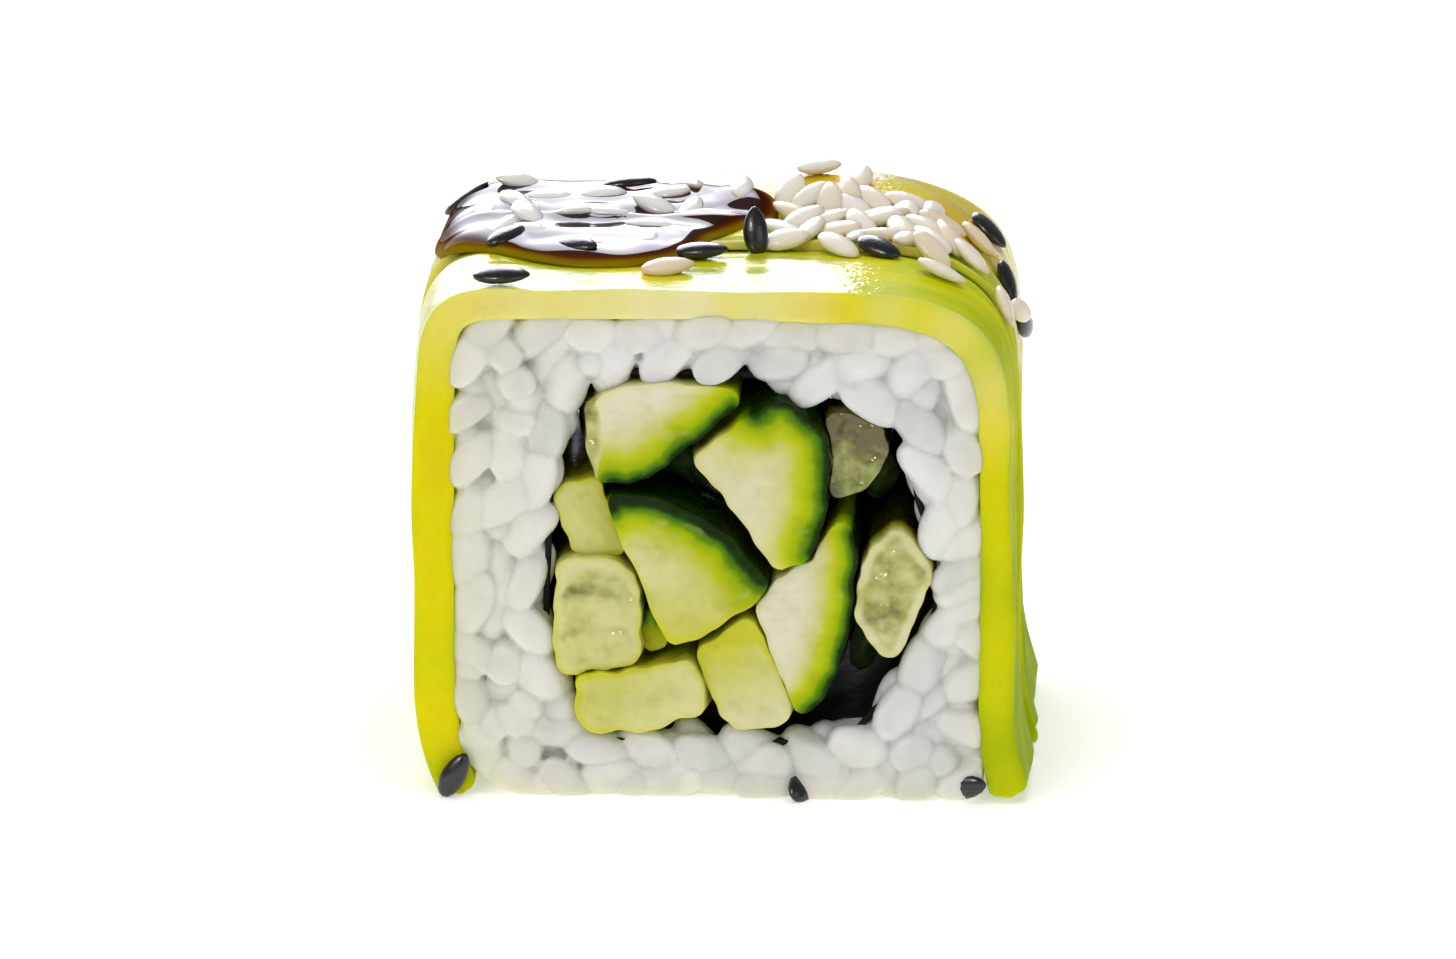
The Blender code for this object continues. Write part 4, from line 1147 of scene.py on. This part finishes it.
# Where seeds lie on the topping: each one's middle, and its long, side and upward directions. dry and
# sunk say how far its middle stands above the avocado or the sauce, in half thicknesses.
def seedFrames(placed, dry, sunk, random):
    placed = np.array(placed, float)
    ground, heading, tilt = placed[:, :2], np.radians(placed[:, 2:3]), np.radians(placed[:, 3:])
    alongX, alongY = [
        toppingPoint(ground + step) - toppingPoint(ground - step) for step in np.diag([0.3, 0.3])]
    alongX = unit(alongX)
    normal = unit(np.cross(alongX, alongY))
    flat = alongX * np.cos(heading) + np.cross(normal, alongX) * np.sin(heading)
    axis = flat * np.cos(tilt) + normal * np.sin(tilt)
    roll = random.normal(scale=0.12, size=(len(placed), 1))
    side = unit(np.cross(normal, flat) + normal * roll)
    length, _, thickness = 0.5 * np.array(sesame["size"])
    stand = np.where(insideSauce(ground), sunk, dry)[:, None] * thickness
    lift = np.sin(np.abs(tilt)) * length * 0.75 + stand
    return toppingPoint(ground) + normal * lift, np.stack([axis, side, np.cross(axis, side)], axis=1)


# One piece of copies of the seed at the given frames, a little uneven in size.
def layDown(name, centres, axes, random, material, slot):
    ball, count = seedBall(), len(centres)
    size = 0.5 * np.array(sesame["size"]) * random.uniform(*sesame["uneven"], (count, 3))
    shapes = ball[None] * size[:, None, :]
    shade = np.repeat(random.random(count), len(ball))
    mesh = newMesh(name, *copiedBalls(shapes, axes, centres, *closedFaces(*sesame["grid"])), {
        "shade": shade, "tip": np.tile(ball[:, 0], count)})
    newPiece(name, mesh, material)


# Seeds thrown at random within a patch of the topping, apart from those that lie there already.
def throwSeeds(random, patch, taken, wanted):
    count, across, deep = patch
    found = []
    while len(found) < count:
        throw = (
            random.uniform(*across), random.uniform(*deep), random.uniform(0, 360),
            random.normal(*sesame["tips"]))
        near = min(math.hypot(throw[0] - other[0], throw[1] - other[1]) for other in taken + found)
        if near > sesame["apart"] and insideSauce(np.array([throw[:2]]))[0] == wanted:
            found.append(throw)
    return found


# Hulled sesame: ivory, faintly waxy, a little browner at the pointed end. Those sunk in the sauce wear
# a film of it, which mirrors the lamps as the sauce does.
def whiteSeedMaterial(name, shades, film):
    return newMaterial(name, {
        "coat": ("ValToRGB", {"stops": list(zip((0.0, 0.5, 1.0), shades))}, {0: "shade"}),
        "point": ("MapRange", {"From Min": 0.6, "From Max": 1.0, "To Max": 0.55}, {"Value": "tip"}),
        "hull": ("Mix", {"data_type": "RGBA", 7: "D8B27C"}, {0: "point", 6: "coat"}),
        "grain": ("TexNoise", {"size": 0.4, "Detail": 2.0}, {"Vector": "place"}),
        "waxy": ("MapRange", {"To Min": 0.3, "To Max": 0.5}, {"Value": "grain"}),
        "bump": ("Bump", {"Strength": 0.15, "Distance": 0.1 * mm}, {"Height": "grain"}),
    }, {
        "Subsurface Weight": 0.3, "Subsurface Radius": (1.0, 0.8, 0.6), "Subsurface Scale": 0.5 * mm,
        "IOR": 1.45, "Coat Weight": film, "Coat Roughness": 0.06,
    }, {"Base Color": "hull", "Roughness": "waxy", "Normal": "bump"})


# Black sesame: a thin charcoal husk, satin rather than glossy. Its fine pits are drawn coarser than
# they are, so that they show.
def blackSeedMaterial():
    return newMaterial("blackSesame", {
        "husk": ("ValToRGB", {"stops": [(0.0, "0A090B"), (1.0, "151417")]}, {0: "shade"}),
        "pits": ("TexVoronoi", {"size": 0.2}, {"Vector": "place"}),
        "bump": ("Bump", {"Strength": 0.2, "Distance": 0.06 * mm}, {"Height": "pits"}),
        "satin": ("MapRange", {"To Min": 0.25, "To Max": 0.4}, {"Value": "pits"}),
    }, {"IOR": 1.5, "Coat Weight": 0.5, "Coat Roughness": 0.12}, {
        "Base Color": "husk", "Roughness": "satin", "Normal": "bump"})


# The sauce and the seeds on it and beside it. The sauce comes first, as it climbs the seeds in it.
def buildTopping():
    random = np.random.default_rng(sesame["seed"])
    black, white = sesame["blackPlaced"], list(sesame["whitePlaced"])
    white += throwSeeds(random, sesame["whiteHeap"], black + white, False)
    glazed = throwSeeds(random, sesame["whiteGlazed"], black + white, True)
    buildSauce(glazed + black)
    hulled = whiteSeedMaterial("hulledSesame", ("E6D3B0", "F2E5CF", "F5EEE1"), 0.25)
    layDown("whiteSesame", *seedFrames(white, 0.7, 0.3, random), random, hulled, "rice")
    # painted sheen: the seeds sunk in the sauce are given whiter, cooler colours than the dry ones
    dippedSheenWhite = whiteSeedMaterial("glazedSheenSesame", ("EFE8E0", "F4EFEA", "F8F6F4"), 1.0)
    layDown("glazedSheenSesame", *seedFrames(glazed, -0.3, -0.1, random), random, dippedSheenWhite, "sauce")
    centres, axes = seedFrames(black, 0.65, -0.1, random)
    way = unit(np.array([seed[3] for seed in sesame["fallen"]]))
    side = unit(np.cross((0.0, 1.0, 0.0), way))
    centres = np.concatenate([centres, [seed[:3] for seed in sesame["fallen"]]])
    axes = np.concatenate([axes, np.stack([way, side, np.cross(way, side)], axis=1)])
    layDown("blackSesame", centres, axes, random, blackSeedMaterial(), "nori")


buildTopping()


stage = {
    "floorSize": 8.0,
    "cameraDistance": 1.0,
    "cameraLift": 18.0,  # degrees above the floor
    "cameraTurn": 2.75,  # degrees round to the right
    "aim": (0.0, 0.0, 17.6),  # in millimetres
    "lens": 385.0,
    "world": ("FAFBFF", 0.24),
    "lampAim": (0.0, 0.0, 0.02),  # where every lamp points
    # place, width and height in metres, power, colour, and what it lights: gloss only (sheen), matt
    # and cloudy surfaces only (fill), or both
    "lamps": {
        "backPanel": ((-0.42, 1.05, 0.58), (1.15, 1.1), 28.0, "F2F1FF", "sheen"),
        "backFill": ((-0.42, 1.05, 0.58), (1.15, 1.1), 5.0, "FFFFFF", "fill"),
        "topFill": ((0.0, 0.0, 1.3), (0.9, 0.9), 8.0, "FFFFFF", "fill"),
        "frontLeft": ((-0.7, -1.1, 0.9), (0.9, 0.7), 5.2, "FFFDF8", "both"),
        "frontRight": ((0.9, -1.1, 0.5), (0.9, 0.7), 1.9, "FFFFFF", "both"),
        "spark": ((-0.4, -1.0, 0.75), (0.2, 0.2), 3.6, "FFFFFF", "sheen"),
    },
}


# A matt white light table: it glows faintly, so that the slice stands on white with a soft shadow.
def tableMaterial():
    return newMaterial("lightTable", {
        "fibre": ("TexNoise", {"size": 1.11, "Detail": 2.0}, {"Vector": "place"}),
        "shade": ("ValToRGB", {"stops": [(0.0, "F8F8F8"), (1.0, "FCFCFC")]}, {0: "fibre"}),
    }, {
        "Roughness": 1.0, "Specular IOR Level": 0.0, "Emission Color": "FFFFFF", "Emission Strength": 0.36,
    }, {"Base Color": "shade"})


def buildStage():
    half = stage["floorSize"] / 2
    corners = [(-half, -half, 0), (half, -half, 0), (half, half, 0), (-half, half, 0)]
    mesh = bpy.data.meshes.new("floor")
    mesh.from_pydata(corners, [], [(0, 1, 2, 3)])
    mesh.materials.append(tableMaterial())
    floor = newObject("floor", mesh)


# A soft flat light all round, and the lamps, each turned to face its aim.
def buildLights():
    world = bpy.data.worlds.new("studio")
    world.use_nodes = True
    colour, strength = stage["world"]
    background = world.node_tree.nodes["Background"]
    background.inputs["Color"].default_value = linear(colour)
    background.inputs["Strength"].default_value = strength
    bpy.context.scene.world = world
    for name, (place, size, power, colour, work) in stage["lamps"].items():
        lamp = bpy.data.lights.new(name, "AREA")
        lamp.shape = "RECTANGLE"
        lamp.size, lamp.size_y = size
        lamp.energy = power
        lamp.color = linear(colour)[:3]
        holder = newObject(name, lamp)
        holder.visible_diffuse = work != "sheen"
        holder.visible_glossy = work != "fill"
        holder.location = place
        x, y, z = np.array(stage["lampAim"]) - np.array(place)
        holder.rotation_euler = (math.atan2(math.hypot(x, y), -z), 0.0, math.atan2(y, x) - math.pi / 2)
    bpy.context.scene.view_settings.view_transform = "Standard"


def buildCamera():
    lens = bpy.data.cameras.new("camera")
    lens.lens = stage["lens"]
    lens.clip_start, lens.clip_end = 0.05, 20.0
    camera = newObject("camera", lens)
    lift, turn = math.radians(stage["cameraLift"]), math.radians(stage["cameraTurn"])
    aim = np.array(stage["aim"]) * mm
    way = np.array([math.sin(turn) * math.cos(lift), -math.cos(turn) * math.cos(lift), math.sin(lift)])
    camera.location = aim + stage["cameraDistance"] * way
    camera.rotation_euler = (math.pi / 2 - lift, 0.0, turn)
    bpy.context.scene.camera = camera


buildStage()
buildLights()
buildCamera()
print("stage, lights and camera set")
